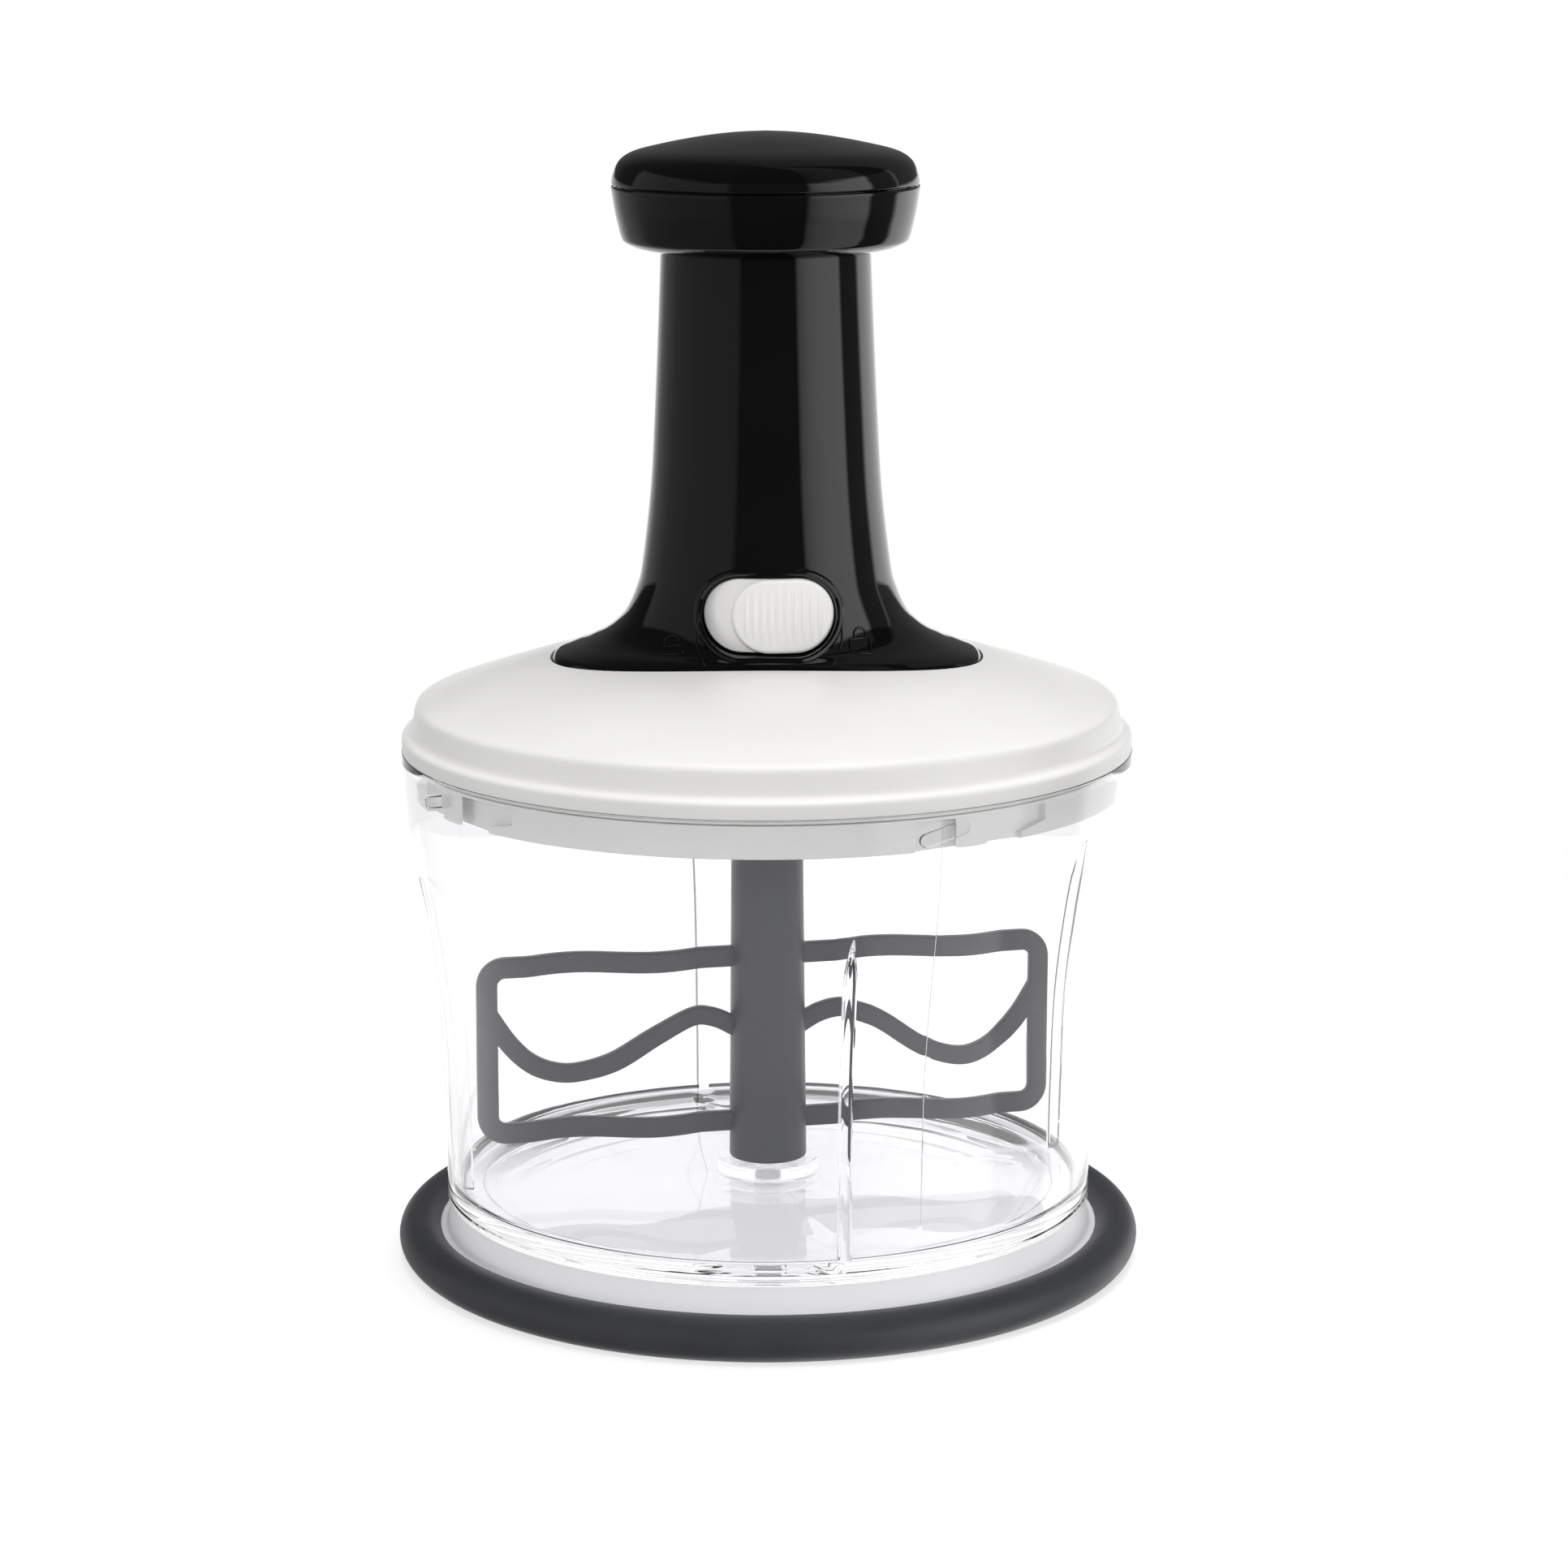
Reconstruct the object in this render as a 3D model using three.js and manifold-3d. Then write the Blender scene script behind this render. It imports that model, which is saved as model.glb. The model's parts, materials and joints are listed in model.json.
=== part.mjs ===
// A hand-pressed food chopper: a clear bowl on a non-slip base, a lid with a handle column, and a
// knob that turns a whisk through a twisted rod. Millimetres, +Z up, origin on the floor under the
// bowl's centre, front towards -Y. Angles around Z are measured from the front towards +X.
import * as THREE from "three";
import { mergeVertices } from "three/addons/utils/BufferGeometryUtils.js";
import Module from "manifold-3d";

const wasm = await Module();
wasm.setup();

// Fits shared by all pieces
const SEAT_GAP = 0.3;
const SLIDE_GAP = 0.4;
const CUT_OVERRUN = 1;
const JOIN_DEPTH = 0.5;
const MERGE_TOLERANCE = 0.0005;

// Facets of the round shapes
const LARGE_ROUND_STEPS = 40;
const COLUMN_STEPS = 32;
const SHAFT_STEPS = 20;
const SCREW_STEPS = 8;
const RING_ARC_STEPS = 4;
const CORNER_STEPS = 2;
const ARC_STEP_ANGLE = 10;

// Grip ring: a round rubber section with a flat underside
const RING_OUTER_RADIUS = 82.5;
const RING_SECTION_RADIUS = 4.87;
const RING_FLAT_DEPTH = 0.25;
const RING_GROOVE_DEPTH = 3.4;

// Base plate: a dished plate whose edge sits in the ring's groove
const BASE_HEIGHT = 13.3;
const BASE_WALL = 1.8;
const BASE_TOP_MARGIN = 1.8;
const BASE_RING_CLEARANCE = 0.8;
const RIDGE_WIDTH = 2;
const RIDGE_HEIGHT = 0.9;

// Bowl
const BOWL_HEIGHT = 101;
const BOWL_FOOT_RADIUS = 71.6;
const BOWL_RIM_RADIUS = 79.9;
const BOWL_WALL = 2.4;
const BOWL_FLOOR = 2.6;
const BOWL_RECESS_DEPTH = 1.4;
const BOWL_FOOT_WIDTH = 8;
const BOWL_OUTER_CORNER = 2;
const BOWL_INNER_CORNER = 4;
// height share of the bowl, share of the way from foot radius to rim radius
const BOWL_FLARE_SHARES = [
  [0.11, 0], [0.296, 0.06], [0.435, 0.16], [0.573, 0.373], [0.71, 0.65], [0.847, 0.904],
  [0.935, 1], [1, 1],
];
const BOSS_RADIUS = 11.2;
const BOSS_HEIGHT = 3.2;
const RIB_COUNT = 4;
const RIB_ANGLE = 13.4;
const RIB_DEPTH = 3;
const RIB_WIDTH = 2.2;
const RIB_TOP_SHARE = 0.745;
const RIB_POINT_SHARE = 0.07;
const LUG_COUNT = 4;
const LUG_ANGLE = 27.7;
const LUG_LENGTH = 11.7;
const LUG_THICKNESS = 2.85;
const LUG_SLOPE = 12.5;
const LUG_DEPTH = 1.3;
const LUG_DROP = 5.2;
const LUG_END_HEIGHT = 0.3;
const LUG_STEPS = 8;

// Spindle pin in the floor boss
const PIN_RADIUS = 3;
const PIN_SOCKET_FLOOR = 1.2;
const PIN_ENGAGEMENT = 29;
const PIN_CHAMFER = 0.8;

// Whisk: hub with two flat wings, each a frame with a wavy middle bar
const HUB_BOTTOM_RADIUS = 8.6;
const HUB_TOP_RADIUS = 7.8;
const HUB_TOP_CLEARANCE = 2.9;
const WHISK_CLEARANCE = 1.2;
const WING_RISE = 6.1;
const WING_HEIGHT = 42.3;
const WING_BAR_WIDTH = 4.6;
const WING_THICKNESS = 2.5;
const WING_CORNER_RADIUS = 4;
const WING_TURN = 12;
const WING_COUNT = 2;
const WING_BEND = 2.2;
const WING_STEPS = 10;
const WAVE_BAR_WIDTH = 4.2;
const WAVE_STEPS = 16;
// shares of the wing's radius where the sideways bend starts and ends
const BEND_START_SHARE = 0.238;
const BEND_END_SHARE = 0.823;
// radius share and wing height share of the wavy bar's middle line
const WAVE_SHARES = [
  [0.11, 0.56], [0.185, 0.62], [0.27, 0.632], [0.4, 0.54], [0.54, 0.395], [0.66, 0.34],
  [0.77, 0.365], [0.87, 0.47], [0.968, 0.6],
];

// Lid cover
const LEDGE_INSET = 0.1;
const LEDGE_WIDTH = 2.3;
const LEDGE_HEIGHT = 3.5;
const LEDGE_ROUNDING = 1.2;
const LID_WALL_HEIGHT = 7.8;
const LID_WALL_DRAFT = 0.5;
const LID_HEIGHT = 23.1;
const LID_THICKNESS = 2.2;
// radius share of the lid wall, share of the way from the wall's top to the dome's top
const DOME_SHARES = [
  [0.994, 0.098], [0.977, 0.163], [0.934, 0.235], [0.778, 0.503], [0.649, 0.7], [0.519, 0.837],
  [0.389, 0.928],
];
const POCKET_DEPTH = 5.4;
const POCKET_CLEARANCE = 0.35;
const COVER_HOLE_RADIUS = 5.2;

// Lid plate: the underside and the skirt that enters the bowl
const SKIRT_DROP = 8.55;
const SKIRT_CLEARANCE = 0.6;
const SKIRT_WALL = 3.3;
const LID_PLATE_RISE = 1.35;
const LID_PLATE_THICKNESS = 2;
const LID_PLATE_HOLE_RADIUS = 6.8;
const SPIGOT_WALL = 2;
const SPIGOT_HEIGHT = 5.4;
const LOCK_IN_TURN = 15;
const CHANNEL_CLEARANCE = 0.6;
const WEDGE_CLEARANCE = 0.25;
const WEDGE_SHARE = 0.62;

// Seal
const SEAL_WIDTH = 1.5;
const SEAL_HEIGHT = 1.4;
const SEAL_LIP = 0.4;

// Handle column: round on top, flaring to an oval foot
const COLUMN_HEIGHT = 91.6;
const COLUMN_TOP_RADIUS = 22.3;
const COLUMN_WALL = 2;
const FOOT_HALF_WIDTH = 46.9;
const FOOT_HALF_DEPTH = 32.4;
const FOOT_POWER = 2.25;
const ROUND_POWER = 2;
// height share, then shares of the way from the top radius to the foot's half width and half depth
const COLUMN_SHARES = [
  [0, 1, 1], [0.014, 1, 1], [0.027, 0.95, 1], [0.043, 0.8, 0.98], [0.06, 0.645, 0.7],
  [0.078, 0.521, 0.58], [0.105, 0.4, 0.52], [0.15, 0.285, 0.48], [0.242, 0.184, 0.4],
  [0.417, 0.106, 0.2], [1, 0, 0],
];
const POST_X = 21;
const POST_Y = 14;
const POST_RADIUS = 3.2;
const POST_HEIGHT = 15;
const POST_BORE_DEPTH = 10;

// Lock: window, curved plate, sliding button and the latch behind it
const WINDOW_RISE = 14.25;
const WINDOW_HALF_WIDTH = 14.2;
const WINDOW_HALF_HEIGHT = 8.25;
const WINDOW_CLEARANCE = 0.35;
const BUTTON_HALF_WIDTH = 10.85;
const BUTTON_FACE_RADIUS = 28;
const BUTTON_THICKNESS = 1.6;
const LOCK_PLATE_THICKNESS = 1.8;
const BUTTON_TURN = 13.5;
const GROOVE_COUNT = 9;
const GROOVE_PITCH = 1.7;
const GROOVE_WIDTH = 0.8;
const GROOVE_DEPTH = 0.4;
const GROOVE_HALF_HEIGHT_SHARE = 0.8;
const STEM_HALF_ANGLE = 4;
const STEM_PLAY_ANGLE = 1;
const STEM_HALF_HEIGHT = 2;
const SLIDER_THICKNESS = 1.6;
const SLIDER_HALF_ANGLE = 14;
const SLIDER_HALF_HEIGHT = 4;
const SLIDER_INSET = 0.7;
const TOOTH_HALF_ANGLE = 8;
const TOOTH_HALF_HEIGHT = 1.5;
const TOOTH_REACH = 1.3;
const NOTCH_ANGLE_CLEARANCE = 1.5;

// Plunger: sleeve, knob and twisted rod
const PLUNGER_TRAVEL = 50;
const SLEEVE_RADIUS = 18.3;
const SLEEVE_WALL = 2;
const SLEEVE_END_RISE = 5.4;
const SLEEVE_FLANGE_RADIUS = 26;
const SLEEVE_FLANGE_THICKNESS = 2;
const GUIDE_HEIGHT = 12;
const KNOB_REST_GAP = 0.5;
const KNOB_LIP_DEPTH = 2.7;
const KNOB_FLOOR_THICKNESS = 2.3;
const KNOB_SKIRT_HEIGHT = 13.7;
const KNOB_DOME_HEIGHT = 11.5;
const KNOB_RADIUS = 33.1;
const KNOB_WALL = 2;
const KNOB_NECK_CLEARANCE = 0.7;
const KNOB_SPIGOT_DEPTH = 3;
// radius share of the knob, share of the skirt's height
const KNOB_SKIRT_SHARES = [
  [0.767, 0], [0.873, 0.073], [0.922, 0.146], [0.935, 0.219], [0.955, 0.372], [0.976, 0.6],
  [0.991, 0.825], [1, 1],
];
// radius share of the knob, share of the dome's height
const KNOB_DOME_SHARES = [
  [0.996, 0.125], [0.973, 0.323], [0.943, 0.459], [0.891, 0.574], [0.816, 0.66], [0.695, 0.745],
  [0.544, 0.835], [0.363, 0.92], [0.181, 0.975], [0, 1],
];
const ROD_SIDE = 4.6;
const ROD_LEAD = 30;
const ROD_STEP_ANGLE = 15;
const ROD_SPARE = 2;
const ROD_END_CLEARANCE = 5;
const ROD_COLLAR_RADIUS = 5;
const ROD_COLLAR_HEIGHT = 9;
const ROD_NUT_CLEARANCE = 0.35;

// Return spring inside the sleeve
const SPRING_RADIUS = 13.5;
const SPRING_WIRE_RADIUS = 0.8;
const SPRING_TURNS = 10;
const SPRING_TURN_STEPS = 8;
const SPRING_WIRE_STEPS = 5;

// Drive under the lid: housing, nut, ratchet, hollow shaft and dogs
const HOUSING_HEIGHT = 18.1;
const HOUSING_WALL = 2;
const HOUSING_FLANGE_RADIUS = 28.5;
const HOUSING_CLEARANCE = 0.8;
const DRIVE_RADIUS = 12.5;
const SHAFT_FLANGE_THICKNESS = 3;
const SHAFT_RADIUS = 5;
const SHAFT_BORE_RADIUS = 3.9;
const SHAFT_REACH = 26;
const BUSH_WALL = 2.2;
const TEETH_COUNT = 8;
const TEETH_HEIGHT = 1.5;
const TEETH_WIDTH = 3.5;
const TEETH_GAP_ANGLE = 1;
const TEETH_LAND_ANGLE = 2;
const NUT_HEIGHT = 7.9;
const WASHER_THICKNESS = 0.8;
const WASHER_WIDTH = 5;
const CLUTCH_SPRING_WIDTH = 2;
const CLUTCH_SPRING_THICKNESS = 0.5;
const CLUTCH_SPRING_WAVES = 3;
const CLUTCH_SPRING_OPENING_ANGLE = 8;
const RETAINER_THICKNESS = 0.8;
const RETAINER_WIDTH = 2.6;
const RETAINER_GROOVE_DEPTH = 0.5;
const RETAINER_OPENING_ANGLE = 50;
const DOG_REACH = 1.1;
const DOG_LENGTH = 10;
const DOG_HALF_ANGLE = 20;
const DOG_PLAY_ANGLE = 17;
const SOCKET_END_CLEARANCE = 2;

// Screws
const SCREW_RADIUS = 1.4;
const SCREW_HOLE_RADIUS = 1.75;
const SCREW_HEAD_RADIUS = 2.7;
const SCREW_HEAD_HEIGHT = 1.7;
const SCREW_LENGTH = 13.5;
const SLEEVE_SCREW_COUNT = 3;
const SLEEVE_SCREW_CIRCLE = 20.8;
const SLEEVE_SCREW_LENGTH = 4;
const ROD_SCREW_LENGTH = 9;

// Heights worked out from the sizes above
const ringCentreRadius = RING_OUTER_RADIUS - RING_SECTION_RADIUS;
const ringCentreZ = RING_SECTION_RADIUS - RING_FLAT_DEPTH;
const bowlBottomZ = BASE_HEIGHT + SEAT_GAP;
const rimZ = bowlBottomZ + BOWL_HEIGHT;
const bowlFloorZ = bowlBottomZ + BOWL_RECESS_DEPTH + BOWL_FLOOR;
const bossTopZ = bowlFloorZ + BOSS_HEIGHT;
const hubBottomZ = bossTopZ + SEAT_GAP;
const pinTopZ = hubBottomZ + PIN_ENGAGEMENT;
const ledgeZ = rimZ + SEAT_GAP;
const ledgeRadius = BOWL_RIM_RADIUS - LEDGE_INSET;
const lidWallRadius = ledgeRadius - LEDGE_WIDTH;
const lidWallTopZ = ledgeZ + LID_WALL_HEIGHT;
const domeTopZ = ledgeZ + LID_HEIGHT;
const skirtBottomZ = rimZ - SKIRT_DROP;
const skirtRadius = BOWL_RIM_RADIUS - BOWL_WALL - SKIRT_CLEARANCE;
const whiskRadius = BOWL_FOOT_RADIUS - BOWL_WALL - RIB_DEPTH - WHISK_CLEARANCE;
const lidPlateZ = skirtBottomZ + LID_PLATE_RISE;
const lidPlateTopZ = lidPlateZ + LID_PLATE_THICKNESS;
const hubTopZ = lidPlateZ - HUB_TOP_CLEARANCE;
const pocketZ = domeTopZ - POCKET_DEPTH;
const coverUndersideZ = pocketZ - LID_THICKNESS;
const footZ = pocketZ + SEAT_GAP;
const columnTopZ = footZ + COLUMN_HEIGHT;
const windowZ = footZ + WINDOW_RISE;
const knobFloorZ = columnTopZ + KNOB_REST_GAP;
const knobBottomZ = knobFloorZ - KNOB_LIP_DEPTH;
const knobFloorTopZ = knobFloorZ + KNOB_FLOOR_THICKNESS;
const seamZ = knobBottomZ + KNOB_SKIRT_HEIGHT;
const flangeZ = knobFloorTopZ + SEAT_GAP;
const flangeTopZ = flangeZ + SLEEVE_FLANGE_THICKNESS;
const rodTopZ = flangeZ - SEAT_GAP;
const sleeveEndZ = pocketZ + SLEEVE_END_RISE;
const housingTopZ = coverUndersideZ - SEAT_GAP;
const housingZ = housingTopZ - HOUSING_HEIGHT;
const housingFloorZ = housingZ + HOUSING_WALL;
const shaftFlangeZ = housingFloorZ + SEAT_GAP;
const shaftFlangeTopZ = shaftFlangeZ + SHAFT_FLANGE_THICKNESS;
const nutZ = shaftFlangeTopZ + TEETH_HEIGHT + SEAT_GAP;
const nutTopZ = nutZ + NUT_HEIGHT;
const washerZ = nutTopZ + SEAT_GAP;
const shaftEndZ = housingZ - SHAFT_REACH + HOUSING_WALL;
const rodEndZ = nutZ - PLUNGER_TRAVEL - ROD_SPARE;
const buttonAngle = degreesOf((WINDOW_HALF_WIDTH - WINDOW_CLEARANCE - BUTTON_HALF_WIDTH) / BUTTON_FACE_RADIUS);
const lockPlateRadius = BUTTON_FACE_RADIUS - BUTTON_THICKNESS - SEAT_GAP;
const sliderRadius = lockPlateRadius - LOCK_PLATE_THICKNESS - SLIDER_INSET;

// Materials
const black = new THREE.MeshStandardMaterial({ color: 0x161618, roughness: 0.18, metalness: 0 });
const white = new THREE.MeshStandardMaterial({ color: 0xf1f0ee, roughness: 0.3, metalness: 0 });
const clear = new THREE.MeshStandardMaterial({
  color: 0xeaf0f3,
  roughness: 0.05,
  metalness: 0,
  transparent: true,
  opacity: 0.3,
});
const rubber = new THREE.MeshStandardMaterial({ color: 0x4c4d51, roughness: 0.75, metalness: 0 });
const silicone = new THREE.MeshStandardMaterial({ color: 0xe4e4e2, roughness: 0.6, metalness: 0 });
const grey = new THREE.MeshStandardMaterial({ color: 0x66676b, roughness: 0.5, metalness: 0 });
const nylon = new THREE.MeshStandardMaterial({ color: 0xd9d6cd, roughness: 0.5, metalness: 0 });
const steel = new THREE.MeshStandardMaterial({ color: 0xb9bbbd, roughness: 0.3, metalness: 1 });

function radiansOf(degrees) {
  return (degrees * Math.PI) / 180;
}

function degreesOf(radians) {
  return (radians * 180) / Math.PI;
}

// A point at a radius, an angle from the front towards +X, and a height
function around(radius, degrees, z) {
  const angle = radiansOf(degrees);
  return new THREE.Vector3(radius * Math.sin(angle), -radius * Math.cos(angle), z);
}

// A closed geometry as a solid, turned right side out and without faces of no area
function solidOf(geometry) {
  const bare = new THREE.BufferGeometry();
  const source = geometry.index ? geometry.toNonIndexed() : geometry;
  bare.setAttribute("position", source.getAttribute("position"));
  const merged = mergeVertices(bare, MERGE_TOLERANCE);
  const corners = merged.index.array;
  const kept = [];
  for (let i = 0; i < corners.length; i += 3) {
    const [a, b, c] = [corners[i], corners[i + 1], corners[i + 2]];
    if (a !== b && b !== c && c !== a) kept.push(a, b, c);
  }
  const vertProperties = merged.attributes.position.array;
  const make = (order) =>
    new wasm.Manifold(new wasm.Mesh({ numProp: 3, vertProperties, triVerts: new Uint32Array(order) }));
  const made = make(kept);
  if (made.volume() > 0) return made;
  const turned = [];
  for (let i = 0; i < kept.length; i += 3) turned.push(kept[i], kept[i + 2], kept[i + 1]);
  return make(turned);
}

function join(...solids) {
  return solids.reduce((sum, next) => sum.add(next));
}

function cut(body, ...tools) {
  return tools.reduce((rest, tool) => rest.subtract(tool), body);
}

// A ring of points joined to the next ring, with flat ends
function loft(rings) {
  const points = [];
  const quad = (a, b, c, d) => points.push(a, b, c, a, c, d);
  const count = rings[0].length;
  for (let i = 0; i + 1 < rings.length; i++) {
    for (let j = 0; j < count; j++) {
      const k = (j + 1) % count;
      quad(rings[i][j], rings[i][k], rings[i + 1][k], rings[i + 1][j]);
    }
  }
  const cap = (ring, flip) => {
    const middle = ring.reduce((sum, p) => sum.clone().add(p)).clone().divideScalar(count);
    for (let j = 0; j < count; j++) {
      const [p, q] = [ring[j], ring[(j + 1) % count]];
      if (flip) points.push(middle, q, p);
      else points.push(middle, p, q);
    }
  };
  cap(rings[0], true);
  cap(rings[rings.length - 1], false);
  return solidOf(new THREE.BufferGeometry().setFromPoints(points));
}

// A closed profile of [radius, height] points turned about Z
function turned(profile, steps) {
  const closed = [...profile, profile[0]].map(([r, z]) => new THREE.Vector2(r, z));
  return solidOf(new THREE.LatheGeometry(closed, steps).rotateX(Math.PI / 2));
}

// A straight-sided ring or disc
function ringOf(inner, outer, low, high, steps) {
  return turned([[inner, low], [outer, low], [outer, high], [inner, high]], steps);
}

// A block between two radii that follows an arc, its underside and top given along the arc
function arcBlock(inner, outer, lowAt, highAt, from, to) {
  const steps = Math.max(2, Math.ceil((to - from) / ARC_STEP_ANGLE));
  const rings = [];
  for (let i = 0; i <= steps; i++) {
    const angle = from + ((to - from) * i) / steps;
    const [low, high] = [lowAt(angle), highAt(angle)];
    rings.push([
      around(inner, angle, low), around(outer, angle, low),
      around(outer, angle, high), around(inner, angle, high),
    ]);
  }
  return loft(rings);
}

function arcSlab(inner, outer, low, high, from, to) {
  return arcBlock(inner, outer, () => low, () => high, from, to);
}

// A long shape with round ends in the XZ plane, cut through from one depth to another along Y
function slotPrism(halfWidth, halfHeight, centreX, centreZ, nearY, farY) {
  const straight = halfWidth - halfHeight;
  const shape = new THREE.Shape();
  shape.absarc(straight, 0, halfHeight, -Math.PI / 2, Math.PI / 2, false);
  shape.absarc(-straight, 0, halfHeight, Math.PI / 2, (3 * Math.PI) / 2, false);
  const settings = { depth: nearY - farY, bevelEnabled: false, curveSegments: COLUMN_STEPS / 4 };
  const geometry = new THREE.ExtrudeGeometry(shape, settings);
  geometry.rotateX(Math.PI / 2).translate(centreX, nearY, centreZ);
  return solidOf(geometry);
}

function copiesAround(solid, count) {
  const copies = [];
  for (let i = 0; i < count; i++) copies.push(solid.rotate([0, 0, (360 * i) / count]));
  return copies;
}

// Unbroken wire wound about Z
function coil(radius, wire, low, high, turns) {
  const steps = Math.round(turns * SPRING_TURN_STEPS);
  const rings = [];
  for (let i = 0; i <= steps; i++) {
    const share = i / steps;
    const angle = 360 * turns * share;
    const centreZ = low + wire + (high - low - 2 * wire) * share;
    const ring = [];
    for (let j = 0; j < SPRING_WIRE_STEPS; j++) {
      const side = (2 * Math.PI * j) / SPRING_WIRE_STEPS;
      ring.push(around(radius + wire * Math.cos(side), angle, centreZ + wire * Math.sin(side)));
    }
    rings.push(ring);
  }
  return loft(rings);
}

// A square bar twisted about Z, the same twist at the same height whatever its ends. Lofted upwards,
// its facets sink in between the steps, as suits a bar. Lofted downwards they bulge, as suits a hole.
function twistedBar(side, low, high, isHole) {
  const stepHeight = (ROD_LEAD * ROD_STEP_ANGLE) / 360;
  const heights = [low];
  for (let i = Math.floor(low / stepHeight) + 1; i * stepHeight < high; i++) heights.push(i * stepHeight);
  heights.push(high);
  const corner = (side / 2) * Math.SQRT2;
  const rings = heights.map((z) => {
    const twist = 45 + (360 * z) / ROD_LEAD;
    return [0, 1, 2, 3].map((k) => around(corner, twist + 90 * k, z));
  });
  return loft(isHole ? rings.reverse() : rings);
}

function screw(headZ, length, headRadius, shankRadius, headSide) {
  const profile = [
    [0, 0], [headRadius, 0], [headRadius, SCREW_HEAD_HEIGHT],
    [shankRadius, SCREW_HEAD_HEIGHT], [shankRadius, SCREW_HEAD_HEIGHT + length],
    [0, SCREW_HEAD_HEIGHT + length],
  ];
  const placed = profile.map(([r, z]) => [r, headZ + headSide * z]);
  return turned(placed, SCREW_STEPS);
}

function gripRing() {
  const pointAt = (angle) => [
    ringCentreRadius + RING_SECTION_RADIUS * Math.cos(angle),
    ringCentreZ + RING_SECTION_RADIUS * Math.sin(angle),
  ];
  const flatAngle = Math.asin(ringCentreZ / RING_SECTION_RADIUS);
  const grooveLowZ = ringCentreZ - SEAT_GAP;
  const grooveHighZ = grooveLowZ + BASE_WALL + 2 * SEAT_GAP;
  const lipAngle = Math.PI - Math.asin((grooveHighZ - ringCentreZ) / RING_SECTION_RADIUS);
  const lowLipAngle = Math.PI + Math.asin((ringCentreZ - grooveLowZ) / RING_SECTION_RADIUS);
  const endAngle = Math.PI + flatAngle;
  const grooveRadius = ringCentreRadius - RING_SECTION_RADIUS + RING_GROOVE_DEPTH;
  const profile = [];
  for (let i = 0; i < RING_ARC_STEPS; i++) profile.push(pointAt(flatAngle * (i / RING_ARC_STEPS - 1)));
  for (let i = 0; i <= RING_ARC_STEPS; i++) profile.push(pointAt((lipAngle * i) / RING_ARC_STEPS));
  profile.push([grooveRadius, grooveHighZ], [grooveRadius, grooveLowZ]);
  for (let i = 0; i <= CORNER_STEPS; i++) {
    profile.push(pointAt(lowLipAngle + ((endAngle - lowLipAngle) * i) / CORNER_STEPS));
  }
  return turned(profile, LARGE_ROUND_STEPS);
}

function basePlate() {
  const edgeZ = ringCentreZ;
  const grooveRadius = ringCentreRadius - RING_SECTION_RADIUS + RING_GROOVE_DEPTH;
  const flangeRadius = grooveRadius - SEAT_GAP;
  const coneRadius = ringCentreRadius - RING_SECTION_RADIUS - BASE_RING_CLEARANCE;
  const topRadius = BOWL_FOOT_RADIUS - BASE_TOP_MARGIN;
  const ridgeRadius = BOWL_FOOT_RADIUS - BOWL_FOOT_WIDTH - SLIDE_GAP;
  return turned([
    [0, BASE_HEIGHT],
    [ridgeRadius - RIDGE_WIDTH, BASE_HEIGHT],
    [ridgeRadius - RIDGE_WIDTH, BASE_HEIGHT + RIDGE_HEIGHT],
    [ridgeRadius, BASE_HEIGHT + RIDGE_HEIGHT],
    [ridgeRadius, BASE_HEIGHT],
    [topRadius, BASE_HEIGHT],
    [coneRadius, edgeZ + BASE_WALL],
    [flangeRadius, edgeZ + BASE_WALL],
    [flangeRadius, edgeZ],
    [coneRadius - BASE_WALL, edgeZ],
    [topRadius - BASE_WALL, BASE_HEIGHT - BASE_WALL],
    [0, BASE_HEIGHT - BASE_WALL],
  ], LARGE_ROUND_STEPS);
}

// Outer radius of the bowl at a share of its height
function bowlRadiusAt(share) {
  const table = [[0, 0], ...BOWL_FLARE_SHARES];
  const next = table.findIndex(([height]) => height >= share);
  if (share > 1) return BOWL_RIM_RADIUS;
  if (next <= 0) return BOWL_FOOT_RADIUS;
  const [[lowShare, lowFlare], [highShare, highFlare]] = [table[next - 1], table[next]];
  const flare = lowFlare + ((highFlare - lowFlare) * (share - lowShare)) / (highShare - lowShare);
  return BOWL_FOOT_RADIUS + (BOWL_RIM_RADIUS - BOWL_FOOT_RADIUS) * flare;
}

function bowlInnerRadius(z) {
  return bowlRadiusAt((z - bowlBottomZ) / BOWL_HEIGHT) - BOWL_WALL;
}

function bowlShell() {
  const footInner = BOWL_FOOT_RADIUS - BOWL_FOOT_WIDTH;
  const profile = [
    [0, bowlBottomZ + BOWL_RECESS_DEPTH],
    [footInner, bowlBottomZ + BOWL_RECESS_DEPTH],
    [footInner, bowlBottomZ],
  ];
  for (let i = 0; i <= CORNER_STEPS; i++) {
    const turn = (Math.PI / 2) * (i / CORNER_STEPS);
    profile.push([
      BOWL_FOOT_RADIUS - BOWL_OUTER_CORNER * (1 - Math.sin(turn)),
      bowlBottomZ + BOWL_OUTER_CORNER * (1 - Math.cos(turn)),
    ]);
  }
  const walls = BOWL_FLARE_SHARES.map(([height]) => bowlBottomZ + BOWL_HEIGHT * height);
  for (const z of walls) profile.push([bowlInnerRadius(z) + BOWL_WALL, z]);
  for (const z of [...walls].reverse()) profile.push([bowlInnerRadius(z), z]);
  const innerFoot = BOWL_FOOT_RADIUS - BOWL_WALL;
  for (let i = CORNER_STEPS; i >= 0; i--) {
    const turn = (Math.PI / 2) * (i / CORNER_STEPS);
    profile.push([
      innerFoot - BOWL_INNER_CORNER * (1 - Math.sin(turn)),
      bowlFloorZ + BOWL_INNER_CORNER * (1 - Math.cos(turn)),
    ]);
  }
  profile.push([0, bowlFloorZ]);
  return turned(profile, LARGE_ROUND_STEPS);
}

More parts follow.
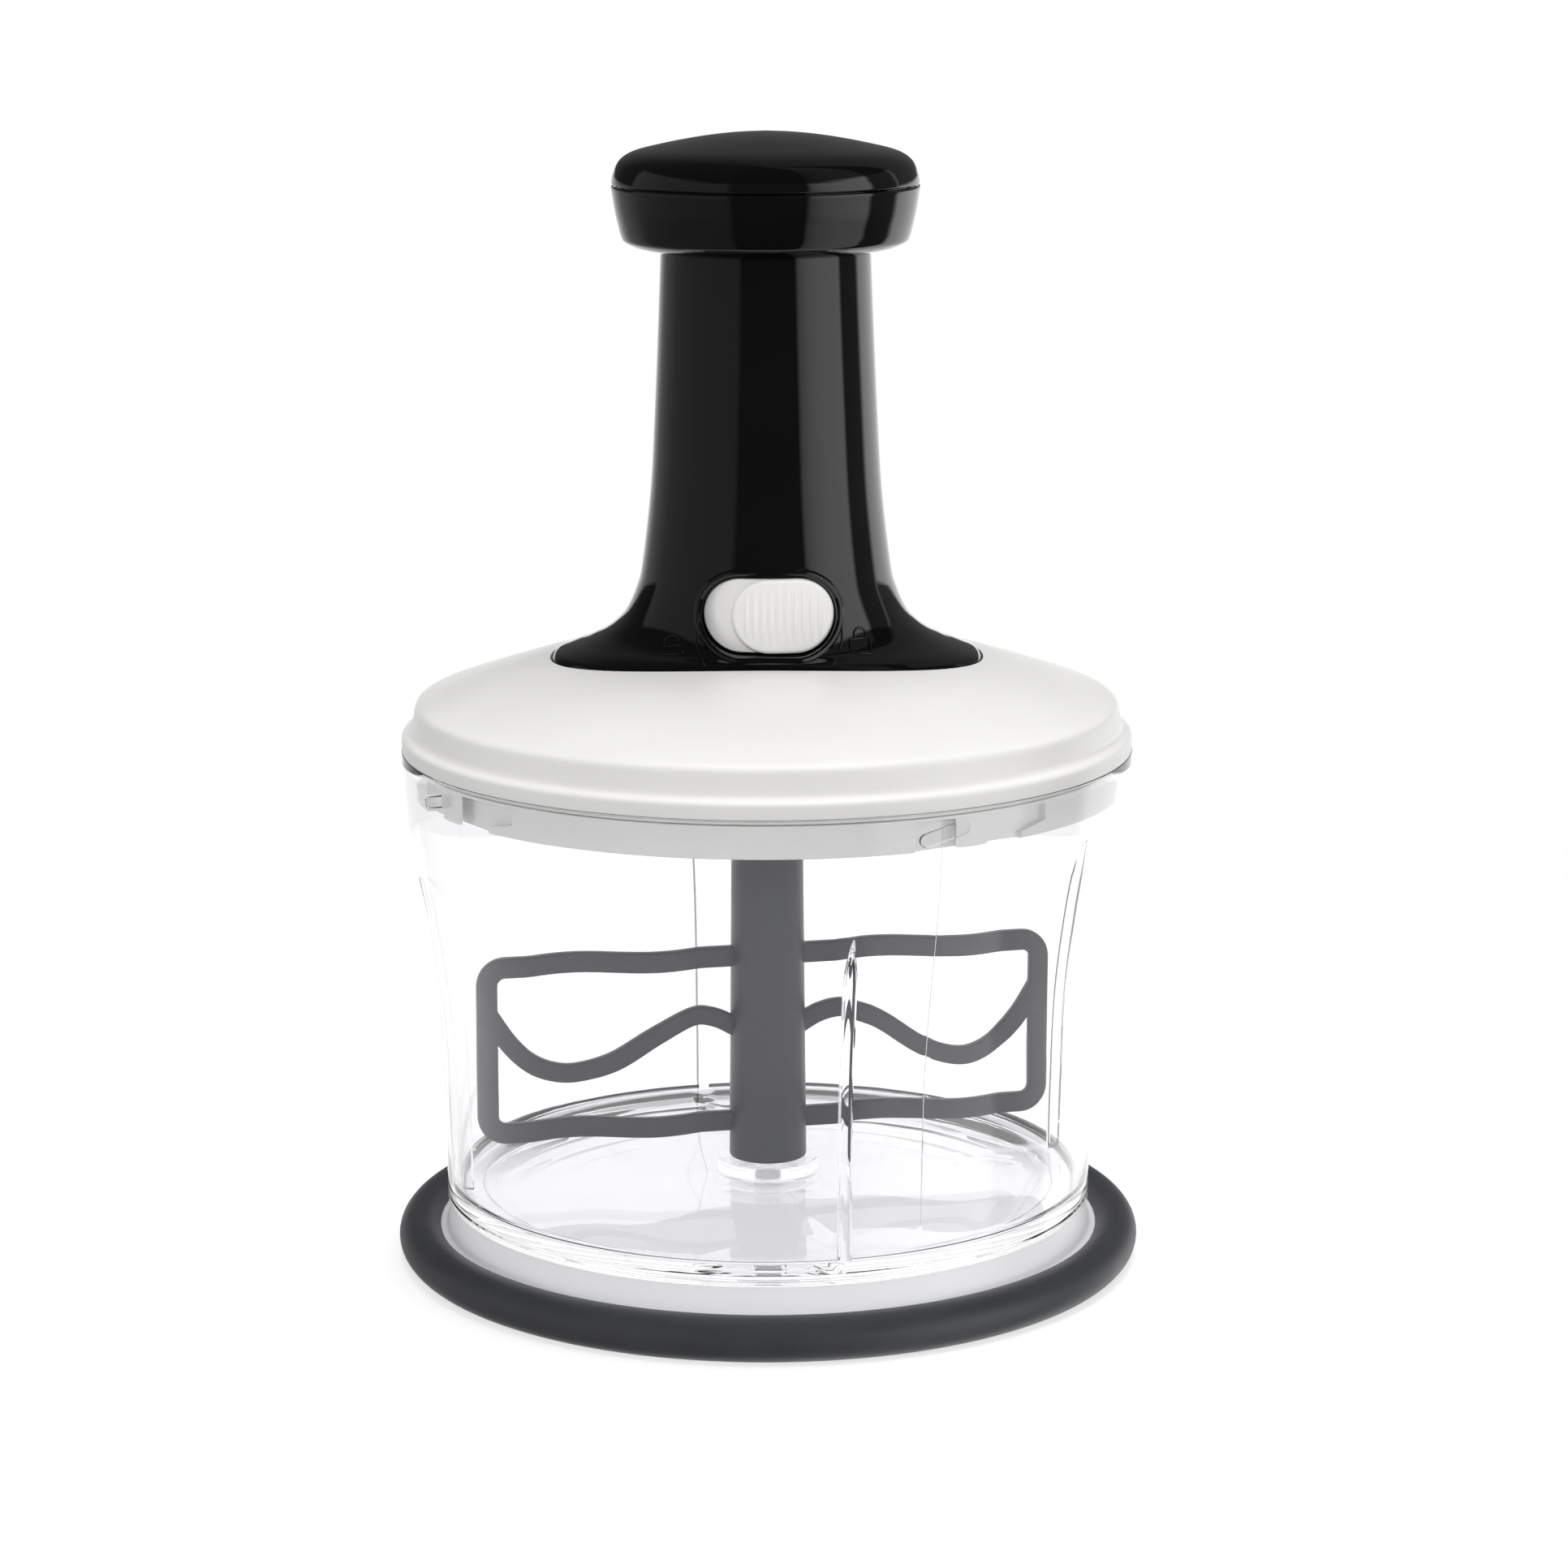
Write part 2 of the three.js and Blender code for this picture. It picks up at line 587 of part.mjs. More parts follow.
function bowlRib() {
  const topZ = bowlBottomZ + BOWL_HEIGHT * RIB_TOP_SHARE;
  const heights = [0, ...BOWL_FLARE_SHARES.map(([height]) => height)].filter(
    (height) => height < RIB_TOP_SHARE - RIB_POINT_SHARE,
  );
  const rings = [];
  const ringAt = (z, depth) => {
    const wall = bowlInnerRadius(Math.max(z, bowlFloorZ));
    const halfWidth = RIB_WIDTH / 2;
    const place = (x, r) => new THREE.Vector3(x, -r, z);
    const backing = wall + BOWL_WALL / 2;
    rings.push([
      place(-halfWidth, wall - depth), place(halfWidth, wall - depth),
      place(halfWidth, backing), place(-halfWidth, backing),
    ]);
  };
  ringAt(bowlFloorZ - JOIN_DEPTH, RIB_DEPTH);
  for (const height of heights) {
    const z = bowlBottomZ + BOWL_HEIGHT * height;
    if (z > bowlFloorZ) ringAt(z, RIB_DEPTH);
  }
  ringAt(topZ - BOWL_HEIGHT * RIB_POINT_SHARE, RIB_DEPTH);
  ringAt(topZ, -JOIN_DEPTH);
  return loft(rings).rotate([0, 0, RIB_ANGLE]);
}

// Height of the lug's middle line, and half its thickness, at an angle
function lugMiddleAt(angle) {
  const radius = bowlInnerRadius(rimZ - LUG_DROP);
  return rimZ - LUG_DROP + Math.tan(radiansOf(LUG_SLOPE)) * radius * radiansOf(angle - LUG_ANGLE);
}

function lugHalfHeightAt(angle) {
  const radius = bowlInnerRadius(rimZ - LUG_DROP);
  const half = LUG_THICKNESS / 2;
  const past = radius * radiansOf(Math.abs(angle - LUG_ANGLE)) - (LUG_LENGTH / 2 - half);
  if (past <= 0) return half;
  return Math.max(LUG_END_HEIGHT, Math.sqrt(Math.max(0, half * half - past * past)));
}

function lugHalfAngle() {
  return degreesOf(LUG_LENGTH / 2 / bowlInnerRadius(rimZ - LUG_DROP));
}

function bowlLug() {
  const wall = bowlInnerRadius(rimZ - LUG_DROP);
  const half = lugHalfAngle();
  const rings = [];
  for (let i = 0; i <= LUG_STEPS; i++) {
    const angle = LUG_ANGLE - half + (2 * half * i) / LUG_STEPS;
    const [middle, height] = [lugMiddleAt(angle), lugHalfHeightAt(angle)];
    rings.push([
      around(wall - LUG_DEPTH, angle, middle - height),
      around(wall + BOWL_WALL / 2, angle, middle - height),
      around(wall + BOWL_WALL / 2, angle, middle + height),
      around(wall - LUG_DEPTH, angle, middle + height),
    ]);
  }
  return loft(rings);
}

function bowl() {
  const boss = ringOf(0, BOSS_RADIUS, bowlFloorZ - JOIN_DEPTH, bossTopZ, SHAFT_STEPS);
  const socketZ = bowlBottomZ + BOWL_RECESS_DEPTH + PIN_SOCKET_FLOOR;
  const socket = ringOf(0, PIN_RADIUS + SEAT_GAP, socketZ, bossTopZ + CUT_OVERRUN, SHAFT_STEPS);
  const body = join(
    bowlShell(), boss, ...copiesAround(bowlRib(), RIB_COUNT), ...copiesAround(bowlLug(), LUG_COUNT),
  );
  return cut(body, socket);
}

function spindlePin() {
  const low = bowlBottomZ + BOWL_RECESS_DEPTH + PIN_SOCKET_FLOOR + SEAT_GAP;
  return turned([
    [0, low], [PIN_RADIUS, low], [PIN_RADIUS, pinTopZ - PIN_CHAMFER],
    [PIN_RADIUS - PIN_CHAMFER, pinTopZ], [0, pinTopZ],
  ], SHAFT_STEPS);
}

// Sideways bend of a wing at a radius: one full wave between two radii
function bendAt(radius) {
  const start = whiskRadius * BEND_START_SHARE;
  const end = whiskRadius * BEND_END_SHARE;
  if (radius <= start || radius >= end) return 0;
  return WING_BEND * Math.sin((2 * Math.PI * (radius - start)) / (end - start));
}

// A flat bar that follows a path of [radius, height] points, bent sideways with the wing
function wingBar(path, width) {
  const rings = path.map(([r, z], i) => {
    const before = path[Math.max(0, i - 1)];
    const after = path[Math.min(path.length - 1, i + 1)];
    const along = new THREE.Vector2(after[0] - before[0], after[1] - before[1]).normalize();
    const side = new THREE.Vector2(-along.y, along.x).multiplyScalar(width / 2);
    const corner = (sign, face) => {
      const radius = r + sign * side.x;
      const sideways = bendAt(radius) + (face * WING_THICKNESS) / 2;
      return new THREE.Vector3(radius, sideways, z + sign * side.y);
    };
    return [corner(-1, -1), corner(1, -1), corner(1, 1), corner(-1, 1)];
  });
  return loft(rings);
}

function wingFrame() {
  const low = hubBottomZ + WING_RISE + WING_BAR_WIDTH / 2;
  const high = hubBottomZ + WING_RISE + WING_HEIGHT - WING_BAR_WIDTH / 2;
  const outer = whiskRadius - WING_BAR_WIDTH / 2;
  const start = HUB_BOTTOM_RADIUS - WING_BAR_WIDTH / 2;
  const cornerStart = outer - WING_CORNER_RADIUS;
  const path = [];
  for (let i = 0; i < WING_STEPS; i++) path.push([start + ((cornerStart - start) * i) / WING_STEPS, low]);
  const turnAt = (centreZ, from) => {
    for (let i = 0; i <= CORNER_STEPS; i++) {
      const angle = from + (Math.PI / 2) * (i / CORNER_STEPS);
      const reach = WING_CORNER_RADIUS;
      path.push([cornerStart + reach * Math.cos(angle), centreZ + reach * Math.sin(angle)]);
    }
  };
  turnAt(low + WING_CORNER_RADIUS, -Math.PI / 2);
  turnAt(high - WING_CORNER_RADIUS, 0);
  for (let i = WING_STEPS - 1; i >= 0; i--) {
    path.push([start + ((cornerStart - start) * i) / WING_STEPS, high]);
  }
  return wingBar(path, WING_BAR_WIDTH);
}

function wingWave() {
  const wingZ = hubBottomZ + WING_RISE;
  const guide = new THREE.CatmullRomCurve3(
    WAVE_SHARES.map(([r, h]) => new THREE.Vector3(whiskRadius * r, 0, wingZ + WING_HEIGHT * h)),
  );
  const path = guide.getSpacedPoints(WAVE_STEPS).map((p) => [p.x, p.z]);
  return wingBar(path, WAVE_BAR_WIDTH);
}

function whisk() {
  const hub = turned([
    [0, hubBottomZ], [HUB_BOTTOM_RADIUS, hubBottomZ], [HUB_TOP_RADIUS, hubTopZ], [0, hubTopZ],
  ], SHAFT_STEPS);
  const wing = join(wingFrame(), wingWave()).rotate([0, 0, WING_TURN]);
  const pinBore = ringOf(
    0, PIN_RADIUS + SLIDE_GAP, hubBottomZ - CUT_OVERRUN, pinTopZ + SEAT_GAP, SHAFT_STEPS,
  );
  const socketZ = shaftEndZ - SOCKET_END_CLEARANCE;
  const socketRadius = SHAFT_RADIUS + SLIDE_GAP;
  const socket = ringOf(0, socketRadius, socketZ, hubTopZ + CUT_OVERRUN, SHAFT_STEPS);
  const rodBoreRadius = SHAFT_BORE_RADIUS + SLIDE_GAP;
  const rodBoreZ = rodEndZ - ROD_END_CLEARANCE;
  const rodBore = ringOf(0, rodBoreRadius, rodBoreZ, hubTopZ + CUT_OVERRUN, SHAFT_STEPS);
  const slotHalf = DOG_HALF_ANGLE + DOG_PLAY_ANGLE;
  const slots = [90, 270].map((angle) =>
    arcSlab(
      SHAFT_RADIUS - SLIDE_GAP, SHAFT_RADIUS + DOG_REACH + SLIDE_GAP, socketZ, hubTopZ + CUT_OVERRUN,
      angle - slotHalf, angle + slotHalf,
    ),
  );
  return cut(join(hub, ...copiesAround(wing, WING_COUNT)), pinBore, socket, rodBore, ...slots);
}

// A prism on the foot's outline, or on one a little larger
function footPrism(extra, low, high) {
  const section = (z) => ovalRing(FOOT_HALF_WIDTH + extra, FOOT_HALF_DEPTH + extra, FOOT_POWER, z);
  return loft([section(low), section(high)]);
}

function ovalRing(halfWidth, halfDepth, power, z) {
  const ring = [];
  for (let i = 0; i < COLUMN_STEPS; i++) {
    const angle = (2 * Math.PI * i) / COLUMN_STEPS;
    const [c, s] = [Math.cos(angle), Math.sin(angle)];
    const x = Math.sign(c) * halfWidth * Math.abs(c) ** (2 / power);
    const y = Math.sign(s) * halfDepth * Math.abs(s) ** (2 / power);
    ring.push(new THREE.Vector3(x, y, z));
  }
  return ring;
}

function postPlaces() {
  return [[POST_X, POST_Y], [-POST_X, POST_Y], [-POST_X, -POST_Y], [POST_X, -POST_Y]];
}

function postHoles(low, high) {
  const hole = ringOf(0, SCREW_HOLE_RADIUS, low, high, SCREW_STEPS);
  return postPlaces().map(([x, y]) => hole.translate([x, y, 0]));
}

function lidCover() {
  const innerWall = lidWallRadius - LID_THICKNESS;
  const drafted = lidWallRadius - LID_WALL_DRAFT;
  const ledgeTopZ = ledgeZ + LEDGE_HEIGHT;
  const rise = domeTopZ - lidWallTopZ;
  const dome = DOME_SHARES.map(([r, h]) => [drafted * r, lidWallTopZ + rise * h]);
  const underside = DOME_SHARES.map(([r, h]) => [
    Math.min(innerWall, drafted * r - LID_THICKNESS / 2),
    Math.min(coverUndersideZ, lidWallTopZ + rise * h - LID_THICKNESS),
  ]).filter(([, z]) => z > lidWallTopZ - LID_THICKNESS / 2);
  const flatFrom = underside.findIndex(([, z]) => z >= coverUndersideZ);
  const slope = underside.slice(0, flatFrom + 1);
  const shell = turned([
    [innerWall, ledgeZ],
    [ledgeRadius, ledgeZ],
    [ledgeRadius, ledgeTopZ - LEDGE_ROUNDING],
    [ledgeRadius - LEDGE_ROUNDING / 3, ledgeTopZ - LEDGE_ROUNDING / 3],
    [lidWallRadius + LEDGE_ROUNDING / 2, ledgeTopZ + LEDGE_ROUNDING / 3],
    [lidWallRadius, ledgeTopZ + LEDGE_ROUNDING],
    [drafted, lidWallTopZ],
    ...dome,
    [COVER_HOLE_RADIUS, domeTopZ],
    [COVER_HOLE_RADIUS, coverUndersideZ],
    ...slope.reverse(),
  ], LARGE_ROUND_STEPS);
  const pocket = footPrism(POCKET_CLEARANCE, pocketZ, domeTopZ + CUT_OVERRUN);
  const holes = postHoles(coverUndersideZ - CUT_OVERRUN, pocketZ + CUT_OVERRUN);
  return cut(shell, pocket, ...holes);
}

function lidPlate() {
  const skirtInner = skirtRadius - SKIRT_WALL;
  const spigotRadius = lidWallRadius - LID_THICKNESS - SLIDE_GAP;
  const sealRadius = skirtRadius - SEAL_WIDTH;
  const sealZ = ledgeZ - SEAL_HEIGHT - 2 * SEAT_GAP;
  const body = turned([
    [LID_PLATE_HOLE_RADIUS, lidPlateZ],
    [skirtInner, lidPlateZ],
    [skirtInner, skirtBottomZ],
    [skirtRadius, skirtBottomZ],
    [skirtRadius, sealZ],
    [sealRadius, sealZ],
    [sealRadius, ledgeZ - SEAT_GAP],
    [spigotRadius, ledgeZ - SEAT_GAP],
    [spigotRadius, ledgeZ + SPIGOT_HEIGHT],
    [spigotRadius - SPIGOT_WALL, ledgeZ + SPIGOT_HEIGHT],
    [spigotRadius - SPIGOT_WALL, lidPlateTopZ],
    [LID_PLATE_HOLE_RADIUS, lidPlateTopZ],
  ], LARGE_ROUND_STEPS);
  // Each bowl lug stands in a channel that is open below. Turned clockwise, the lid brings a wedge
  // under the lug.
  const wall = bowlInnerRadius(rimZ - LUG_DROP);
  const channelRadius = wall - LUG_DEPTH - SLIDE_GAP;
  const half = lugHalfAngle();
  const from = LUG_ANGLE - half - CHANNEL_CLEARANCE;
  const to = LUG_ANGLE + half + LOCK_IN_TURN + CHANNEL_CLEARANCE;
  const topZ = lugMiddleAt(LUG_ANGLE + half) + LUG_THICKNESS / 2 + SEAT_GAP / 2;
  const wedgeFrom = to - 2 * half * WEDGE_SHARE;
  const wedgeTopAt = (angle) => {
    const under = Math.min(angle - LOCK_IN_TURN, LUG_ANGLE + half);
    return lugMiddleAt(under) - LUG_THICKNESS / 2 - WEDGE_CLEARANCE;
  };
  const reach = skirtRadius + CUT_OVERRUN;
  const entry = arcSlab(channelRadius, reach, skirtBottomZ - CUT_OVERRUN, topZ, from, wedgeFrom);
  const lock = arcBlock(channelRadius, reach, wedgeTopAt, () => topZ, wedgeFrom - CHANNEL_CLEARANCE, to);
  return cut(body, ...copiesAround(entry, LUG_COUNT), ...copiesAround(lock, LUG_COUNT));
}

function lidSeal() {
  const inner = skirtRadius - SEAL_WIDTH + SLIDE_GAP;
  const outer = bowlInnerRadius(rimZ) - SEAT_GAP;
  const low = ledgeZ - SEAL_HEIGHT - SEAT_GAP;
  const high = ledgeZ - SEAT_GAP;
  return turned([
    [inner, low], [outer - SEAL_LIP, low], [outer, low + SEAL_LIP], [outer, high - SEAL_LIP],
    [outer - SEAL_LIP, high], [inner, high],
  ], LARGE_ROUND_STEPS);
}

// The column's outer shape, drawn in by a wall thickness for its hollow
function columnLoft(inset) {
  const rings = COLUMN_SHARES.map(([height, width, depth]) => {
    const halfWidth = COLUMN_TOP_RADIUS + (FOOT_HALF_WIDTH - COLUMN_TOP_RADIUS) * width - inset;
    const halfDepth = COLUMN_TOP_RADIUS + (FOOT_HALF_DEPTH - COLUMN_TOP_RADIUS) * depth - inset;
    const power = ROUND_POWER + (FOOT_POWER - ROUND_POWER) * depth;
    return { halfWidth, halfDepth, power, z: footZ + COLUMN_HEIGHT * height - inset };
  });
  const ringAt = (section, z) => ovalRing(section.halfWidth, section.halfDepth, section.power, z);
  if (inset === 0) return loft(rings.map((section) => ringAt(section, section.z)));
  const inside = rings.filter((section) => section.z > footZ);
  const ends = [ringAt(inside[0], footZ - CUT_OVERRUN)];
  const top = inside[inside.length - 1];
  const finish = ringAt(top, columnTopZ + CUT_OVERRUN);
  return loft([...ends, ...inside.map((section) => ringAt(section, section.z)), finish]);
}

function handleColumn() {
  const shell = cut(columnLoft(0), columnLoft(COLUMN_WALL));
  const post = ringOf(0, POST_RADIUS, footZ, footZ + POST_HEIGHT, SCREW_STEPS);
  const posts = postPlaces().map(([x, y]) => post.translate([x, y, 0]));
  const inside = posts.map((solid) => solid.intersect(columnLoft(0)));
  const opening = slotPrism(
    WINDOW_HALF_WIDTH, WINDOW_HALF_HEIGHT, 0, windowZ, -SLEEVE_RADIUS, -FOOT_HALF_DEPTH - CUT_OVERRUN,
  );
  const bores = postHoles(footZ - CUT_OVERRUN, footZ + POST_BORE_DEPTH);
  return cut(join(shell, ...inside), opening, ...bores);
}

function guideBush() {
  const outer = COLUMN_TOP_RADIUS - COLUMN_WALL - SEAT_GAP;
  const high = columnTopZ - SEAT_GAP;
  return ringOf(SLEEVE_RADIUS + SLIDE_GAP, outer, high - GUIDE_HEIGHT, high, COLUMN_STEPS);
}

// A curved wall about Z that has the outline of a slot seen from the front
function curvedSlot(inner, outer, halfWidth, halfHeight, centreX) {
  const reach = halfHeight + CUT_OVERRUN;
  const wall = ringOf(inner, outer, windowZ - reach, windowZ + reach, 2 * LARGE_ROUND_STEPS);
  const outline = slotPrism(halfWidth, halfHeight, centreX, windowZ, 0, -outer - CUT_OVERRUN);
  return wall.intersect(outline);
}

function lockPlate() {
  const inner = lockPlateRadius - LOCK_PLATE_THICKNESS;
  const halfWidth = WINDOW_HALF_WIDTH - WINDOW_CLEARANCE;
  const halfHeight = WINDOW_HALF_HEIGHT - WINDOW_CLEARANCE;
  const plate = curvedSlot(inner, lockPlateRadius, halfWidth, halfHeight, 0);
  const slotHeight = STEM_HALF_HEIGHT + SLIDE_GAP;
  const slot = arcSlab(
    inner - CUT_OVERRUN, lockPlateRadius + CUT_OVERRUN, windowZ - slotHeight, windowZ + slotHeight,
    buttonAngle - BUTTON_TURN - STEM_HALF_ANGLE - STEM_PLAY_ANGLE,
    buttonAngle + STEM_HALF_ANGLE + STEM_PLAY_ANGLE,
  );
  return cut(plate, slot);
}

function lockButton() {
  const inner = BUTTON_FACE_RADIUS - BUTTON_THICKNESS;
  const halfHeight = WINDOW_HALF_HEIGHT - WINDOW_CLEARANCE;
  const centreX = WINDOW_HALF_WIDTH - WINDOW_CLEARANCE - BUTTON_HALF_WIDTH;
  const cap = curvedSlot(inner, BUTTON_FACE_RADIUS, BUTTON_HALF_WIDTH, halfHeight, centreX);
  const stem = arcSlab(
    sliderRadius + SEAT_GAP, inner + JOIN_DEPTH, windowZ - STEM_HALF_HEIGHT, windowZ + STEM_HALF_HEIGHT,
    buttonAngle - STEM_HALF_ANGLE, buttonAngle + STEM_HALF_ANGLE,
  );
  const grooves = [];
  const grooveHalf = degreesOf(GROOVE_WIDTH / 2 / BUTTON_FACE_RADIUS);
  const grooveHeight = halfHeight * GROOVE_HALF_HEIGHT_SHARE;
  for (let i = 0; i < GROOVE_COUNT; i++) {
    const along = GROOVE_PITCH * (i - (GROOVE_COUNT - 1) / 2);
    const angle = buttonAngle + degreesOf(along / BUTTON_FACE_RADIUS);
    grooves.push(arcSlab(
      BUTTON_FACE_RADIUS - GROOVE_DEPTH, BUTTON_FACE_RADIUS + CUT_OVERRUN,
      windowZ - grooveHeight, windowZ + grooveHeight, angle - grooveHalf, angle + grooveHalf,
    ));
  }
  return cut(join(cap, stem), ...grooves);
}

function latchSlider() {
  const inner = sliderRadius - SLIDER_THICKNESS;
  const shoe = arcSlab(
    inner, sliderRadius, windowZ - SLIDER_HALF_HEIGHT, windowZ + SLIDER_HALF_HEIGHT,
    buttonAngle - SLIDER_HALF_ANGLE, buttonAngle + SLIDER_HALF_ANGLE,
  );
  const tooth = arcSlab(
    SLEEVE_RADIUS - TOOTH_REACH, inner + JOIN_DEPTH,
    windowZ - TOOTH_HALF_HEIGHT, windowZ + TOOTH_HALF_HEIGHT,
    buttonAngle - TOOTH_HALF_ANGLE, buttonAngle + TOOTH_HALF_ANGLE,
  );
  return join(shoe, tooth);
}

function plungerSleeve() {
  const inner = SLEEVE_RADIUS - SLEEVE_WALL;
  const body = turned([
    [inner, sleeveEndZ], [SLEEVE_RADIUS, sleeveEndZ], [SLEEVE_RADIUS, flangeZ],
    [SLEEVE_FLANGE_RADIUS, flangeZ], [SLEEVE_FLANGE_RADIUS, flangeTopZ], [0, flangeTopZ],
    [0, flangeZ], [inner, flangeZ],
  ], COLUMN_STEPS);
  const rodHole = ringOf(
    0, SCREW_HOLE_RADIUS, flangeZ - CUT_OVERRUN, flangeTopZ + CUT_OVERRUN, SCREW_STEPS,
  );
  const screwHoles = copiesAround(
    rodHole.translate([0, -SLEEVE_SCREW_CIRCLE, 0]), SLEEVE_SCREW_COUNT,
  );
  // The latch tooth stands in an open slot. A side leg of the slot lets it in over a ledge.
  const half = TOOTH_HALF_ANGLE + NOTCH_ANGLE_CLEARANCE;
  const [inside, outside] = [inner - CUT_OVERRUN, SLEEVE_RADIUS + CUT_OVERRUN];
  const notchTop = windowZ + TOOTH_HALF_HEIGHT + SLIDE_GAP;
  const ledge = windowZ - TOOTH_HALF_HEIGHT - SLIDE_GAP;
  const slot = arcSlab(
    inside, outside, sleeveEndZ - CUT_OVERRUN, notchTop, buttonAngle - half, buttonAngle + half,
  );
  const leg = arcSlab(inside, outside, ledge, notchTop, buttonAngle - BUTTON_TURN - half, buttonAngle);
  return cut(body, rodHole, ...screwHoles, slot, leg);
}

function knobBase() {
  const neck = COLUMN_TOP_RADIUS + KNOB_NECK_CLEARANCE;
  const outside = KNOB_SKIRT_SHARES.map(([r, h]) => [
    KNOB_RADIUS * r, knobBottomZ + KNOB_SKIRT_HEIGHT * h,
  ]);
  const inside = [...outside]
    .reverse()
    .map(([r, z]) => [r - KNOB_WALL, z])
    .filter(([, z]) => z > knobFloorTopZ);
  const sleeveHole = SLEEVE_RADIUS + SEAT_GAP;
  const floorEdge = inside[inside.length - 1][0] - KNOB_WALL / 2;
  const body = turned([
    [neck, knobBottomZ], ...outside, ...inside, [floorEdge, knobFloorTopZ],
    [sleeveHole, knobFloorTopZ], [sleeveHole, knobFloorZ], [neck, knobFloorZ],
  ], COLUMN_STEPS);
  const hole = ringOf(
    0, SCREW_HOLE_RADIUS, knobBottomZ - CUT_OVERRUN, knobFloorTopZ + CUT_OVERRUN, SCREW_STEPS,
  ).translate([0, -SLEEVE_SCREW_CIRCLE, 0]);
  return cut(body, ...copiesAround(hole, SLEEVE_SCREW_COUNT));
}

function knobCap() {
  const low = seamZ + SEAT_GAP;
  const height = KNOB_DOME_HEIGHT - SEAT_GAP;
  const outside = KNOB_DOME_SHARES.map(([r, h]) => [KNOB_RADIUS * r, low + height * h]);
  const inside = [...KNOB_DOME_SHARES]
    .reverse()
    .filter(([r]) => r < KNOB_DOME_SHARES[2][0])
    .map(([r, h]) => [(KNOB_RADIUS - KNOB_WALL) * r, low + height * h - KNOB_WALL]);
  const spigot = KNOB_RADIUS - KNOB_WALL - 2 * SLIDE_GAP;
  return turned([
    [KNOB_RADIUS, low], ...outside, ...inside,
    [spigot - KNOB_WALL, seamZ - KNOB_SPIGOT_DEPTH], [spigot, seamZ - KNOB_SPIGOT_DEPTH], [spigot, low],
  ], COLUMN_STEPS);
}

function driveRod() {
  const bar = twistedBar(ROD_SIDE, rodEndZ, rodTopZ - ROD_COLLAR_HEIGHT + JOIN_DEPTH, false);
  const collar = ringOf(0, ROD_COLLAR_RADIUS, rodTopZ - ROD_COLLAR_HEIGHT, rodTopZ, SHAFT_STEPS);
  const bore = ringOf(
    0, SCREW_HOLE_RADIUS, rodTopZ - ROD_COLLAR_HEIGHT + JOIN_DEPTH, rodTopZ + CUT_OVERRUN, SCREW_STEPS,
  );
  return cut(join(bar, collar), bore);
}

function returnSpring() {
  const low = pocketZ + SEAT_GAP;
  const high = flangeZ - SEAT_GAP;
  return coil(SPRING_RADIUS, SPRING_WIRE_RADIUS, low, high, SPRING_TURNS);
}

function driveHousing() {
  const inner = DRIVE_RADIUS + HOUSING_CLEARANCE;
  const outer = inner + HOUSING_WALL;
  const bearing = SHAFT_RADIUS + SLIDE_GAP + BUSH_WALL + SEAT_GAP;
  const body = turned([
    [bearing, housingZ], [outer, housingZ], [outer, housingTopZ - HOUSING_WALL],
    [HOUSING_FLANGE_RADIUS, housingTopZ - HOUSING_WALL], [HOUSING_FLANGE_RADIUS, housingTopZ],
    [inner, housingTopZ], [inner, housingFloorZ], [bearing, housingFloorZ],
  ], COLUMN_STEPS);
  return cut(body, ...postHoles(housingTopZ - HOUSING_WALL - CUT_OVERRUN, housingTopZ + CUT_OVERRUN));
}

function shaftBush() {
  const inner = SHAFT_RADIUS + SLIDE_GAP;
  return ringOf(inner, inner + BUSH_WALL, housingZ, housingFloorZ, SHAFT_STEPS);
}

// Saw teeth. Those on the shaft point up, and those of the nut point down between them. Steep
// faces meet when the nut turns counterclockwise, seen from above.
function ratchet(baseZ, pointsUp) {
  const outer = DRIVE_RADIUS - CUT_OVERRUN;
  const inner = outer - TEETH_WIDTH;
  const span = 360 / TEETH_COUNT - TEETH_LAND_ANGLE;
  const fallAt = (angle) => (TEETH_HEIGHT * angle) / span;
  const shaftTopAt = (angle) => baseZ + TEETH_HEIGHT - fallAt(angle);
  const nutLowAt = (angle) => baseZ - fallAt(angle);
  const tooth = pointsUp
    ? arcBlock(inner, outer, () => baseZ - JOIN_DEPTH, shaftTopAt, 0, span)
    : arcBlock(inner, outer, nutLowAt, () => baseZ + JOIN_DEPTH, 0, span - TEETH_GAP_ANGLE);
  return copiesAround(tooth, TEETH_COUNT);
}

function outputShaft() {
  const groove = SHAFT_RADIUS - RETAINER_GROOVE_DEPTH;
  const grooveTop = housingZ;
  const grooveLow = housingZ - 2 * SEAT_GAP - RETAINER_THICKNESS;
  const body = turned([
    [SHAFT_BORE_RADIUS, shaftEndZ], [SHAFT_RADIUS, shaftEndZ], [SHAFT_RADIUS, grooveLow],
    [groove, grooveLow], [groove, grooveTop], [SHAFT_RADIUS, grooveTop],
    [SHAFT_RADIUS, shaftFlangeZ], [DRIVE_RADIUS, shaftFlangeZ], [DRIVE_RADIUS, shaftFlangeTopZ],
    [SHAFT_BORE_RADIUS, shaftFlangeTopZ],
  ], SHAFT_STEPS);
  const dogs = [90, 270].map((angle) =>
    arcSlab(
      SHAFT_RADIUS - JOIN_DEPTH, SHAFT_RADIUS + DOG_REACH, shaftEndZ, shaftEndZ + DOG_LENGTH,
      angle - DOG_HALF_ANGLE, angle + DOG_HALF_ANGLE,
    ),
  );
  return join(body, ...dogs, ...ratchet(shaftFlangeTopZ, true));
}

function driveNut() {
  const blank = ringOf(0, DRIVE_RADIUS, nutZ, nutTopZ, SHAFT_STEPS);
  const hole = twistedBar(
    ROD_SIDE + 2 * ROD_NUT_CLEARANCE, nutZ - CUT_OVERRUN, nutTopZ + CUT_OVERRUN, true,
  );
  return cut(join(blank, ...ratchet(nutZ, false)), hole);
}

